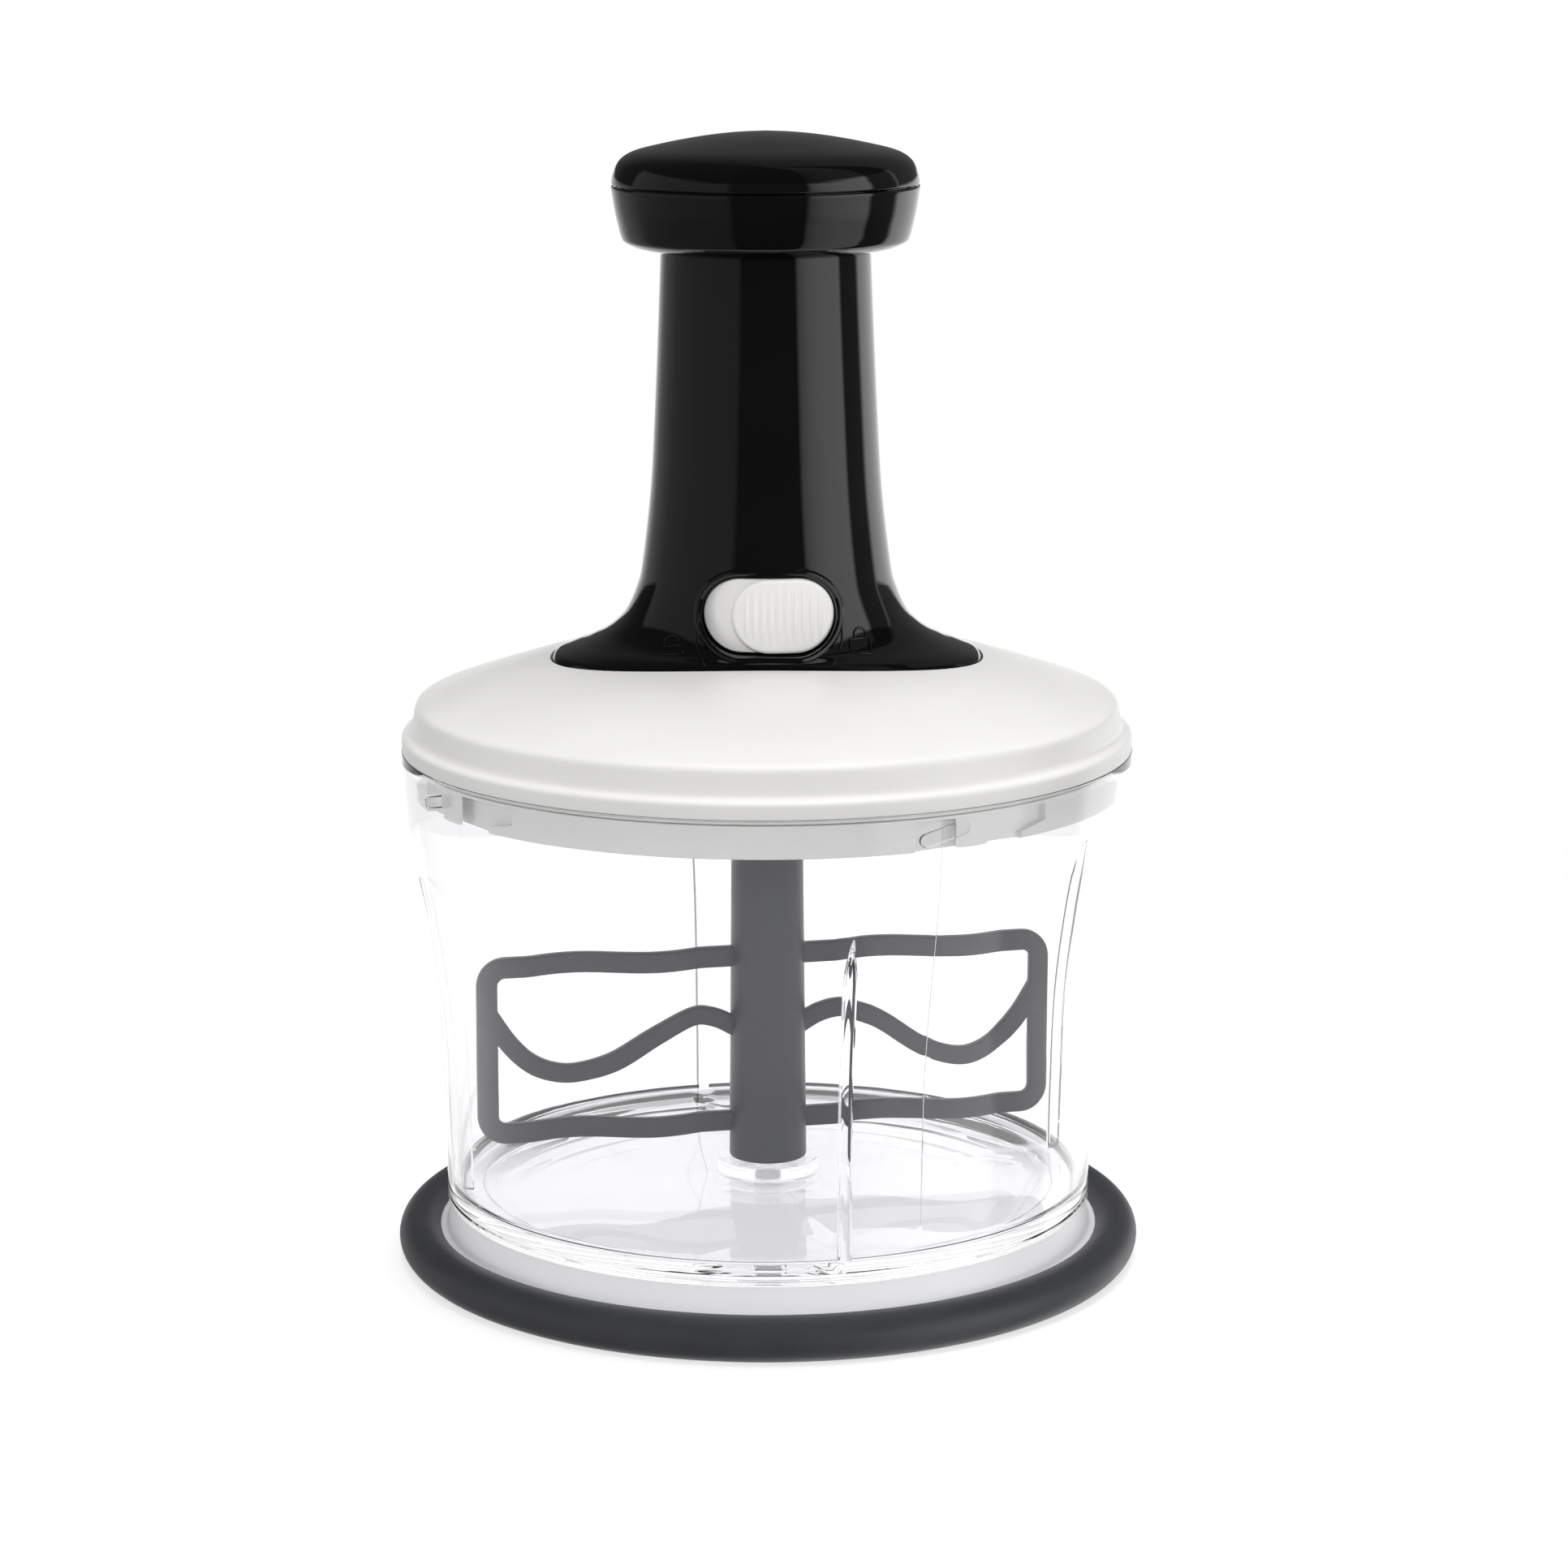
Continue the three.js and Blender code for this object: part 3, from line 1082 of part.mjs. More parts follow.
function thrustWasher() {
  const outer = DRIVE_RADIUS - SLIDE_GAP;
  return ringOf(outer - WASHER_WIDTH, outer, washerZ, washerZ + WASHER_THICKNESS, SHAFT_STEPS);
}

// A split wave washer
function clutchSpring() {
  const outer = DRIVE_RADIUS - CUT_OVERRUN;
  const low = washerZ + WASHER_THICKNESS + SEAT_GAP;
  const high = coverUndersideZ - SEAT_GAP;
  const rise = (high - low - CLUTCH_SPRING_THICKNESS) / 2;
  const lowAt = (angle) => low + rise * (1 - Math.cos(radiansOf(CLUTCH_SPRING_WAVES * angle)));
  const highAt = (angle) => lowAt(angle) + CLUTCH_SPRING_THICKNESS;
  const half = CLUTCH_SPRING_OPENING_ANGLE / 2;
  return arcBlock(outer - CLUTCH_SPRING_WIDTH, outer, lowAt, highAt, half, 360 - half);
}

function retainingRing() {
  const inner = SHAFT_RADIUS - RETAINER_GROOVE_DEPTH + SEAT_GAP;
  const high = housingZ - SEAT_GAP;
  const half = RETAINER_OPENING_ANGLE / 2;
  return arcSlab(inner, inner + RETAINER_WIDTH, high - RETAINER_THICKNESS, high, half, 360 - half);
}

const assembly = new THREE.Group();

function add(name, solid, material) {
  const { vertProperties, triVerts } = solid.getMesh();
  const geometry = new THREE.BufferGeometry();
  geometry.setAttribute("position", new THREE.BufferAttribute(vertProperties, 3));
  geometry.setIndex(new THREE.BufferAttribute(triVerts, 1));
  geometry.computeVertexNormals();
  const mesh = new THREE.Mesh(geometry, material.clone());
  mesh.name = name;
  assembly.add(mesh);
}

add("grip_ring", gripRing(), rubber);
add("base_plate", basePlate(), white);
add("bowl", bowl(), clear);
add("spindle_pin", spindlePin(), steel);
add("whisk", whisk(), grey);
add("lid_cover", lidCover(), white);
add("lid_plate", lidPlate(), white);
add("lid_seal", lidSeal(), silicone);
add("handle_column", handleColumn(), black);
add("guide_bush", guideBush(), nylon);
add("lock_plate", lockPlate(), white);
add("lock_button", lockButton(), white);
add("latch_slider", latchSlider(), nylon);
add("knob_base", knobBase(), black);
add("knob_cap", knobCap(), black);
add("plunger_sleeve", plungerSleeve(), black);
add("drive_rod", driveRod(), nylon);
add("return_spring", returnSpring(), steel);
add("drive_housing", driveHousing(), nylon);
add("shaft_bush", shaftBush(), nylon);
add("output_shaft", outputShaft(), nylon);
add("drive_nut", driveNut(), nylon);
add("thrust_washer", thrustWasher(), steel);
add("clutch_spring", clutchSpring(), steel);
add("retaining_ring", retainingRing(), steel);

const rodScrewZ = flangeTopZ + SEAT_GAP + SCREW_HEAD_HEIGHT;
add("rod_screw", screw(rodScrewZ, ROD_SCREW_LENGTH, SCREW_HEAD_RADIUS, SCREW_RADIUS, -1), steel);
const sleeveScrew = screw(rodScrewZ, SLEEVE_SCREW_LENGTH, SCREW_HEAD_RADIUS, SCREW_RADIUS, -1)
  .translate([0, -SLEEVE_SCREW_CIRCLE, 0]);
copiesAround(sleeveScrew, SLEEVE_SCREW_COUNT).forEach((solid, i) => {
  add("sleeve_screw_" + (i + 1), solid, steel);
});
const columnScrewZ = housingTopZ - HOUSING_WALL - SEAT_GAP - SCREW_HEAD_HEIGHT;
const columnScrew = screw(columnScrewZ, SCREW_LENGTH, SCREW_HEAD_RADIUS, SCREW_RADIUS, 1);
postPlaces().forEach(([x, y], i) => {
  add("column_screw_" + (i + 1), columnScrew.translate([x, y, 0]), steel);
});

export default assembly;
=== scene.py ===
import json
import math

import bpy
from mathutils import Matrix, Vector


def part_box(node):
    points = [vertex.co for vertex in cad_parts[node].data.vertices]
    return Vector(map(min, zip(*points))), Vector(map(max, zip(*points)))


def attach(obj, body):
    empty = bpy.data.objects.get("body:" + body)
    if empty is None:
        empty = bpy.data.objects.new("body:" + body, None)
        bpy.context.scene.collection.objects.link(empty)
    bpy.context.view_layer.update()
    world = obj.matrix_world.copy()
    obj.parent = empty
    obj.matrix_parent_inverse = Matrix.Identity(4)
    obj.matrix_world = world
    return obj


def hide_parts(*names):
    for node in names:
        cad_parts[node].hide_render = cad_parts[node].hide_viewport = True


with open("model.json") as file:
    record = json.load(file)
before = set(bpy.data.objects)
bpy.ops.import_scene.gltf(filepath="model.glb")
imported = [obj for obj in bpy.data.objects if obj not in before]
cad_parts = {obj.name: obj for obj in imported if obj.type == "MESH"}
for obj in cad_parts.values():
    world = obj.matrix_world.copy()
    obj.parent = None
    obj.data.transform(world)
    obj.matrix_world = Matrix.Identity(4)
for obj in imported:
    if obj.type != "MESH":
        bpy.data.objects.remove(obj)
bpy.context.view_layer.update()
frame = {"nodes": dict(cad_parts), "record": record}

# %% [markdown]
# # A hand-pressed food chopper
#
# The frame that was just loaded holds the engineering model: every part at its real size, in
# metres, with +Z up and the front towards -Y. Its facets are coarse. This lesson dresses it: each
# part that shows gets a finely shaped piece in the same place, and every part gets the finish of
# the plastic, rubber or steel that it is made of.

MM = 0.001
ROUND_STEPS = 128
FILLET_STEPS = 5
# Points of a mesh that lie nearer to each other than this become one.
JOINT_TOLERANCE = 0.002 * MM


def clear_selection():
    """Deselects everything, because an operator acts on all that is selected."""
    bpy.ops.object.select_all(action="DESELECT")


def select_only(piece):
    """Selects one piece and makes it the active one."""
    clear_selection()
    piece.select_set(True)
    bpy.context.view_layer.objects.active = piece

# %% [markdown]
# ## Camera
#
# The camera stands where the photographer's did. Its place, tilt and focal length were worked out
# from the ellipses of the lid, the bowl and the ring, whose real roundness is known. The object
# stands a little left of the picture's centre, and the lens shift does that without turning the
# camera.

# %% Camera
CAMERA_DISTANCE = 901.31 * MM
CAMERA_HEIGHT = 296.05 * MM
CAMERA_PITCH = 0.20856
CAMERA_ROLL = -0.0024
IMAGE_SIDE = 1932
FOCAL_PIXELS = 5162.96
CENTRE_PIXEL = 945.1
SENSOR_WIDTH = 36

clear_selection()
aim = Matrix.Rotation(math.pi / 2 - CAMERA_PITCH, 3, "X") @ Matrix.Rotation(CAMERA_ROLL, 3, "Z")
bpy.ops.object.camera_add(location=(0, -CAMERA_DISTANCE, CAMERA_HEIGHT), rotation=aim.to_euler())
camera = bpy.context.object
camera.name = "studio_camera"
camera.data.sensor_width = SENSOR_WIDTH
camera.data.lens = FOCAL_PIXELS / IMAGE_SIDE * SENSOR_WIDTH
camera.data.shift_x = (IMAGE_SIDE / 2 - CENTRE_PIXEL) / IMAGE_SIDE
bpy.context.scene.camera = camera
print("camera lens", round(camera.data.lens, 2), "mm")

# %% [markdown]
# ## Studio
#
# Glossy black plastic shows the room more than itself, so the room is drawn as bands of light and
# dark round the object: dark behind the camera, a tall soft box on the right, a dim wall on the
# left, and bright panels behind that give the column its light edges. Only mirrored rays meet these
# bands. The backdrop is plain white wherever it is seen directly or through the clear bowl, and for
# dull surfaces it is an even, softer light from all round.

# %% World light
BACKDROP_WHITE = 1.0
AMBIENT_WHITE = 0.56
# degrees round the object from the front towards the right, and how bright the room is there
ROOM_BANDS = [
    (-180, 1.3), (-160, 0.9), (-140, 0.4), (-110, 0.28), (-30, 0.25), (-25, 0.05), (31, 0.05),
    (35, 0.9), (44, 1.35), (60, 1.65), (84, 1.6), (88, 0.12), (113, 0.12), (120, 1.6), (150, 1.3),
    (180, 1.3),
]
# height of the mirrored ray, from -1 straight down to 1 straight up, and the share of light left
PANEL_FADE = [(-1, 0.6), (-0.4, 0.6), (-0.2, 1), (0.42, 1), (0.48, 0.1), (1, 0.1)]
BACK_FADE = [(-1, 1), (0.01, 1), (0.05, 0.1), (1, 0.1)]
# The panels behind start this far round from the front, as a share of a full turn.
BACK_FROM = 115 / 360
WHITE, BLACK = (1, 1, 1, 1), (0, 0, 0, 1)
# the Mix node's sockets for colours
MIX_A, MIX_B, MIX_RESULT = 6, 7, 2


def add_node(tree, kind, settings=None, inputs=None):
    """Adds a node of a kind that Blender calls ShaderNode and this name, sets its properties, and
    fills or joins its inputs by name or number."""
    node = tree.nodes.new("ShaderNode" + kind)
    for key, value in (settings or {}).items():
        setattr(node, key, value)
    for key, value in (inputs or {}).items():
        if isinstance(value, bpy.types.NodeSocket):
            tree.links.new(value, node.inputs[key])
        else:
            node.inputs[key].default_value = value
    return node


def fill_ramp(node, stops):
    """Gives a Color Ramp its stops, each a place from 0 to 1 and a colour."""
    ramp = node.color_ramp
    for place, colour in stops[1:-1]:
        ramp.elements.new(place)
    for element, (place, colour) in zip(ramp.elements, stops):
        element.position = place
        element.color = colour
    return node


world = bpy.data.worlds.new("studio_room")
bpy.context.scene.world = world
world.use_nodes = True
room = world.node_tree
room.nodes.clear()
looking = add_node(room, "TexCoord")
split = add_node(room, "SeparateXYZ", inputs={0: looking.outputs["Generated"]})
front = add_node(room, "Math", {"operation": "MULTIPLY"}, {0: split.outputs["Y"], 1: -1.0})
heading = add_node(room, "Math", {"operation": "ARCTAN2"}, {0: split.outputs["X"], 1: front.outputs[0]})
turn = add_node(room, "MapRange", inputs={"Value": heading.outputs[0], "From Min": -math.pi, "From Max": math.pi})
bands = add_node(room, "ValToRGB", inputs={"Fac": turn.outputs[0]})
BRIGHTEST = max(light for _, light in ROOM_BANDS)
fill_ramp(bands, [
    ((degrees + 180) / 360, (light / BRIGHTEST,) * 3 + (1,)) for degrees, light in ROOM_BANDS
])
# The soft box and the side wall end well above the object, and the bright panels behind end level
# with it, so the knob's dome mirrors a dark ceiling right up to its outline.
height = add_node(room, "MapRange", inputs={"Value": split.outputs["Z"], "From Min": -1.0})
fades = []
for stops in (PANEL_FADE, BACK_FADE):
    fade = add_node(room, "ValToRGB", inputs={"Fac": height.outputs[0]})
    fades.append(fill_ramp(fade, [((z + 1) / 2, (share, share, share, 1)) for z, share in stops]))
behind = add_node(room, "ValToRGB", inputs={"Fac": turn.outputs[0]})
fill_ramp(behind, [
    (0.0, WHITE), (0.49 - BACK_FROM, WHITE), (0.5 - BACK_FROM, BLACK),
    (0.5 + BACK_FROM, BLACK), (0.51 + BACK_FROM, WHITE), (1.0, WHITE),
])
upwards = add_node(
    room, "Mix", {"data_type": "RGBA"},
    {"Factor": behind.outputs[0], MIX_A: fades[0].outputs[0], MIX_B: fades[1].outputs[0]},
)
walls = add_node(
    room, "Mix", {"data_type": "RGBA", "blend_type": "MULTIPLY"},
    {"Factor": 1.0, MIX_A: bands.outputs[0], MIX_B: upwards.outputs[MIX_RESULT]},
)
studio = add_node(room, "Background", inputs={"Color": walls.outputs[MIX_RESULT], "Strength": BRIGHTEST})
backdrop = add_node(room, "Background", inputs={"Color": WHITE, "Strength": BACKDROP_WHITE})
ambient = add_node(room, "Background", inputs={"Color": WHITE, "Strength": AMBIENT_WHITE})
path = add_node(room, "LightPath")
scattered = add_node(room, "Math", {"operation": "MINIMUM"}, {0: path.outputs["Diffuse Depth"], 1: 1.0})
dull = add_node(room, "MixShader", inputs={0: scattered.outputs[0], 1: backdrop.outputs[0], 2: ambient.outputs[0]})
# Blender counts a ray bent by clear plastic as glossy too. Only a ray that is mirrored meets the room.
mirrored = add_node(
    room, "Math", {"operation": "SUBTRACT", "use_clamp": True},
    {0: path.outputs["Is Glossy Ray"], 1: path.outputs["Is Transmission Ray"]},
)
both = add_node(room, "MixShader", inputs={0: mirrored.outputs[0], 1: dull.outputs[0], 2: studio.outputs[0]})
add_node(room, "OutputWorld", inputs={"Surface": both.outputs[0]})
bpy.context.scene.view_settings.view_transform = "Standard"
# Light runs to and fro inside the clear wall, so it gets many bounces before it is given up.
cycles = bpy.context.scene.cycles
cycles.max_bounces = cycles.transmission_bounces = 24
cycles.glossy_bounces = 16
print("room bands:", len(ROOM_BANDS))

# %% Lamps
def soft_box(name, place, target, size, watts):
    """A round soft box that looks at a point of the object. No mirror or clear wall shows it."""
    clear_selection()
    bpy.ops.object.light_add(type="AREA", location=place)
    lamp = bpy.context.object
    lamp.name = name
    lamp.data.shape = "DISK"
    lamp.data.size = size
    lamp.data.energy = watts
    lamp.data.spread = math.pi
    lamp.rotation_euler = (Vector(target) - Vector(place)).to_track_quat("-Z", "Y").to_euler()
    lamp.visible_glossy = lamp.visible_transmission = lamp.visible_camera = False
    return lamp


# name, place, target and width in metres, watts
soft_box("overhead_box", (0.1, 0.1, 1.4), (0, 0, 0.1), 0.9, 12.5)
soft_box("front_key", (0.1, -1.6, 0.62), (0, 0, 0.08), 0.12, 6.3)
soft_box("right_box", (1.2, -0.6, 0.3), (0, 0, 0.08), 0.3, 2.3)
soft_box("left_box", (-1.2, -0.5, 0.3), (0, 0, 0.08), 0.3, 2)
# Seen through the bowl's clear floor, the white plate came out much greyer than the real one. A
# flat lamp inside the floor, with nothing but the plate below it, makes up for that.
floor_glow = soft_box("bowl_floor_glow", (0, 0, 0.016), (0, 0, 0), 0.14, 0.03)
floor_glow.visible_transmission = True
print("lamps ready")

# %% [markdown]
# ## Floor
#
# A plain white disc, which ends just outside the picture, as a small table does. It gets its finish
# in the next step, and is hidden there from mirrored and scattered light.

# %% Floor
FLOOR_RADIUS = 420 * MM
clear_selection()
bpy.ops.mesh.primitive_circle_add(vertices=96, radius=FLOOR_RADIUS, fill_type="NGON", location=(0, 0, 0))
floor = bpy.context.object
floor.name = "studio_floor"
print("floor across", round(2 * FLOOR_RADIUS / MM), "mm")

# %% [markdown]
# ## Finishes
#
# Each finish starts from the real material and how it was shaped. Colours are written as the hex
# values a colour picker shows, and one function turns them into the linear values that Blender
# counts with. Patterns are sized in real millimetres and read Object coordinates, so they stay on
# the piece when it moves.

# %% Colour and finish
def linear(hex_colour):
    """An sRGB hex colour as linear RGBA."""
    channels = [int(hex_colour[i:i + 2], 16) / 255 for i in (1, 3, 5)]
    return tuple(c / 12.92 if c <= 0.04045 else ((c + 0.055) / 1.055) ** 2.4 for c in channels) + (1,)


def finish(name, colour, cloud_colour, cloud_mm, gloss, grain_mm, grain_height_mm, ior=1.5, metallic=0):
    """A moulded, ground or polished surface: faint clouds in its colour, a range of gloss that
    changes over the same clouds, and a fine grain that stands in relief."""
    material = bpy.data.materials.new(name)
    material.use_nodes = True
    tree = material.node_tree
    shader = tree.nodes["Principled BSDF"]
    where = add_node(tree, "TexCoord").outputs["Object"]
    clouds = add_node(
        tree, "TexNoise", inputs={"Vector": where, "Scale": 1 / (cloud_mm * MM), "Detail": 3.0}
    )
    tint = add_node(tree, "ValToRGB", inputs={"Fac": clouds.outputs["Fac"]})
    fill_ramp(tint, [(0.3, linear(colour)), (0.7, linear(cloud_colour))])
    tree.links.new(tint.outputs[0], shader.inputs["Base Color"])
    low_gloss, high_gloss = gloss
    rough = add_node(
        tree, "MapRange",
        inputs={"Value": clouds.outputs["Fac"], "From Min": 0.3, "From Max": 0.7,
                "To Min": low_gloss, "To Max": high_gloss},
    )
    tree.links.new(rough.outputs[0], shader.inputs["Roughness"])
    grain = add_node(
        tree, "TexNoise", inputs={"Vector": where, "Scale": 1 / (grain_mm * MM), "Detail": 2.0}
    )
    relief = add_node(
        tree, "Bump", inputs={"Distance": grain_height_mm * MM, "Height": grain.outputs["Fac"]}
    )
    tree.links.new(relief.outputs[0], shader.inputs["Normal"])
    shader.inputs["IOR"].default_value = ior
    shader.inputs["Metallic"].default_value = metallic
    return material


# ABS moulded against polished steel: deep black with mirror gloss, and the slight waviness of
# shrinkage that makes reflections swim a little.
black_abs = finish("moulded_black_abs", "#070708", "#0a0a0b", 30, (0.02, 0.035), 14, 0.008, ior=1.52)
# ABS from a finely blasted mould: white, satin, with a very fine grain.
white_abs = finish("moulded_white_abs", "#dfdedd", "#e2e1e0", 25, (0.28, 0.36), 0.6, 0.004)
# Polypropylene-like button plastic: a lighter white, a little more matt.
button_abs = finish("moulded_white_button_abs", "#eeedec", "#f1f0ef", 12, (0.38, 0.46), 0.5, 0.004)
# Glass-filled nylon: grey and dull, with a flow pattern that clouds it. The fibres at its skin break
# up its gloss, so its IOR is matched down.
grey_nylon = finish("moulded_grey_nylon", "#424347", "#46474b", 9, (0.3, 0.38), 0.8, 0.006, ior=1.4)
# Thermoplastic rubber: grey, dull and slightly rough, so dust and fingers mark it.
grey_rubber = finish("moulded_grey_rubber", "#37383c", "#3b3c40", 12, (0.42, 0.5), 0.5, 0.015, ior=1.52)
# Silicone: milky white and dull.
silicone = finish("moulded_white_silicone", "#dcdcda", "#e2e2e0", 8, (0.5, 0.6), 0.6, 0.006, ior=1.41)
# Acetal for the drive inside: off-white and waxy.
acetal = finish("moulded_acetal", "#d6d2c6", "#dedad0", 10, (0.32, 0.4), 0.7, 0.005, ior=1.48)
# Steel wire and turned screws: bright, with fine drawing marks.
drawn_steel = finish("drawn_steel", "#b7b8ba", "#c6c7c9", 3, (0.2, 0.32), 0.35, 0.003, metallic=1)
# The base plate's white is painted lighter than the lid's, as painted light that stands in for the shade the lid
# throws on it. It is also a little cooler.
plate_white_painted_light = finish("moulded_white_plate_abs_painted_light", "#f8f8fa", "#fafafc", 25, (0.28, 0.36), 0.6, 0.004)
# White laminate of the studio table.
table_white = finish("table_laminate", "#bdbdbd", "#bfbfbf", 200, (0.7, 0.8), 2, 0.002)
# The table is lit from below as well, as a light table is, so that shadows on it stay faint.
table_shader = table_white.node_tree.nodes["Principled BSDF"]
TABLE_GLOW = 0.62
table_shader.inputs["Emission Color"].default_value = WHITE
table_shader.inputs["Emission Strength"].default_value = TABLE_GLOW
floor.data.materials.append(table_white)
# Only the camera and rays through the clear bowl see the table. No gloss mirrors it, and its glow
# lights nothing.
floor.visible_diffuse = floor.visible_glossy = False

# Polycarbonate moulded against polished steel: clear, with a faint blue-violet edge tint and long
# soft waves where the melt flowed. The book value of its IOR is 1.585. It is matched down a little,
# so that the thick corners at the foot stay as clear as the real ones.
clear_polycarbonate = bpy.data.materials.new("moulded_clear_polycarbonate")
clear_polycarbonate.use_nodes = True
clear_tree = clear_polycarbonate.node_tree
clear_shader = clear_tree.nodes["Principled BSDF"]
clear_where = add_node(clear_tree, "TexCoord").outputs["Object"]
FLOW_WAVE_MM = 22
FLOW_HEIGHT_MM = 0.02
flow = add_node(
    clear_tree, "TexNoise", inputs={"Vector": clear_where, "Scale": 1 / (FLOW_WAVE_MM * MM), "Detail": 1.0}
)
flow_relief = add_node(clear_tree, "Bump", inputs={"Distance": FLOW_HEIGHT_MM * MM, "Height": flow.outputs["Fac"]})
clear_tree.links.new(flow_relief.outputs[0], clear_shader.inputs["Normal"])
clear_settings = {"Base Color": linear("#fdfdfe"), "Roughness": 0.0, "IOR": 1.5, "Transmission Weight": 1.0}
for socket, value in clear_settings.items():
    clear_shader.inputs[socket].default_value = value
print("finishes:", len(bpy.data.materials))

# %% [markdown]
# ## Finishes of the parts inside
#
# The drive, the springs and the screws are hidden, or show only when the lid is lifted or the knob
# is up. Their engineering shapes stay, and each gets the finish of its material slot.

# %% Finishes for every part of the frame
SLOT_FINISHES = {
    "black_plastic": black_abs, "white_plastic": white_abs, "clear_plastic": clear_polycarbonate,
    "grey_plastic": grey_nylon, "ring_rubber": grey_rubber, "seal_silicone": silicone,
    "inner_nylon": acetal, "steel": drawn_steel,
}
part_slots = {part["node"]: part["material_slot"] for part in frame["record"]["subparts"]}
for node_name, node in frame["nodes"].items():
    node.data.materials.clear()
    node.data.materials.append(SLOT_FINISHES[part_slots[node_name]])
print("parts with a finish:", len(part_slots))

# %% [markdown]
# ## Round pieces
#
# Most of the chopper is round, so most pieces start as an outline: half of the piece's cut face,
# drawn by extruding one point from corner to corner. Spinning the outline about the upright axis
# gives the piece, as a potter's wheel does. A corner that carries a radius is rounded first,
# because no moulded edge is sharp.

# %% Helpers for round pieces
# A corner's rounding takes up no more than this share of either side.
MOST_OF_SIDE = 0.48


def softened(outline, steps=FILLET_STEPS):
    """The outline with each corner that carries a radius, as a third number, rounded."""
    points = []
    for i, corner in enumerate(outline):
        here = Vector(corner[:2])
        if len(corner) < 3:
            points.append(here)
            continue
        before = Vector(outline[i - 1][:2]) - here
        after = Vector(outline[(i + 1) % len(outline)][:2]) - here
        half = before.angle(after) / 2
        reach = min(corner[2] / math.tan(half), MOST_OF_SIDE * before.length, MOST_OF_SIDE * after.length)
        start, end = here + before.normalized() * reach, here + after.normalized() * reach
        for k in range(steps + 1):
            t = k / steps
            points.append(start * (1 - t) ** 2 + here * 2 * t * (1 - t) + end * t ** 2)
    return points


def smooth_line(points, steps):
    """A smooth line through the points, with that many short pieces between each two."""
    line = []
    for i in range(len(points) - 1):
        p0, p1 = Vector(points[max(i - 1, 0)]), Vector(points[i])
        p2, p3 = Vector(points[i + 1]), Vector(points[min(i + 2, len(points) - 1)])
        for k in range(steps):
            t = k / steps
            line.append(0.5 * (
                2 * p1 + (p2 - p0) * t + (2 * p0 - 5 * p1 + 4 * p2 - p3) * t ** 2
                + (3 * p1 - p0 - 3 * p2 + p3) * t ** 3
            ))
    return line + [Vector(points[-1])]


def point_chain(name, points):
    """A mesh of one line: a point that is extruded from place to place. It stays in edit mode."""
    clear_selection()
    bpy.ops.mesh.primitive_plane_add(size=MM, location=(0, 0, 0))
    piece = bpy.context.object
    piece.name = piece.data.name = name
    bpy.ops.object.mode_set(mode="EDIT")
    bpy.ops.mesh.select_mode(type="VERT")
    bpy.ops.mesh.select_all(action="SELECT")
    bpy.ops.mesh.merge(type="CENTER")
    here = Vector(points[0])
    bpy.ops.transform.translate(value=here)
    for there in points[1:]:
        step = Vector(there) - here
        bpy.ops.mesh.extrude_region_move(TRANSFORM_OT_translate={"value": step})
        here = Vector(there)
    return piece


def merge_doubles():
    """Selects the whole mesh that is being edited, and makes one point of those that coincide."""
    bpy.ops.mesh.select_all(action="SELECT")
    bpy.ops.mesh.remove_doubles(threshold=JOINT_TOLERANCE)


def shade(angle=35):
    """Smooths the shading between faces that meet at less than the angle."""
    bpy.ops.object.shade_smooth_by_angle(angle=math.radians(angle))


def finish_mesh(piece, angle=35):
    """Merges doubles, turns all faces outwards, and smooths the shading between gentle faces."""
    merge_doubles()
    bpy.ops.mesh.normals_make_consistent(inside=False)
    bpy.ops.object.mode_set(mode="OBJECT")
    shade(angle)
    return piece


def fill_and_pull(piece, way):
    """Fills the line that is being edited with a face, and pulls that out to a solid."""
    bpy.ops.mesh.select_all(action="SELECT")
    bpy.ops.mesh.edge_face_add()
    bpy.ops.mesh.extrude_region_move(TRANSFORM_OT_translate={"value": way})
    return finish_mesh(piece)


def spun(name, outline, steps=ROUND_STEPS, degrees=360):
    """A round piece, or a sector of one, from its outline of (radius, height) in millimetres. An
    outline that doesn't start and end on the axis is closed on itself."""
    corners = [(r * MM, 0, z * MM) for r, z in outline]
    if outline[0][0] > 0 or outline[-1][0] > 0:
        corners.append(corners[0])
    piece = point_chain(name, corners)
    merge_doubles()
    if degrees < 360:
        bpy.ops.mesh.select_all(action="SELECT")
        bpy.ops.mesh.edge_face_add()
    bpy.ops.mesh.spin(steps=steps, angle=math.radians(-degrees), center=(0, 0, 0), axis=(0, 0, 1))
    return finish_mesh(piece)


def tent(name, rings):
    """A closed body through rings of points: a circle is extruded ring by ring, and each of its
    corners is then put in its place."""
    count = len(rings[0])
    clear_selection()
    bpy.ops.mesh.primitive_circle_add(vertices=count, radius=MM, fill_type="NGON")
    piece = bpy.context.object
    piece.name = piece.data.name = name
    bpy.ops.object.mode_set(mode="EDIT")
    bpy.ops.mesh.select_all(action="SELECT")
    for _ in rings[1:]:
        bpy.ops.mesh.extrude_region_move(TRANSFORM_OT_translate={"value": (0, 0, MM)})
    bpy.ops.object.mode_set(mode="OBJECT")
    for i, ring in enumerate(rings):
        for j, point in enumerate(ring):
            piece.data.vertices[i * count + j].co = point
    bpy.ops.object.mode_set(mode="EDIT")
    return finish_mesh(piece)


def turned_to(piece, degrees):
    """Turns a finished piece about the upright axis, into its mesh."""
    piece.data.transform(Matrix.Rotation(math.radians(degrees), 4, "Z"))
    return piece


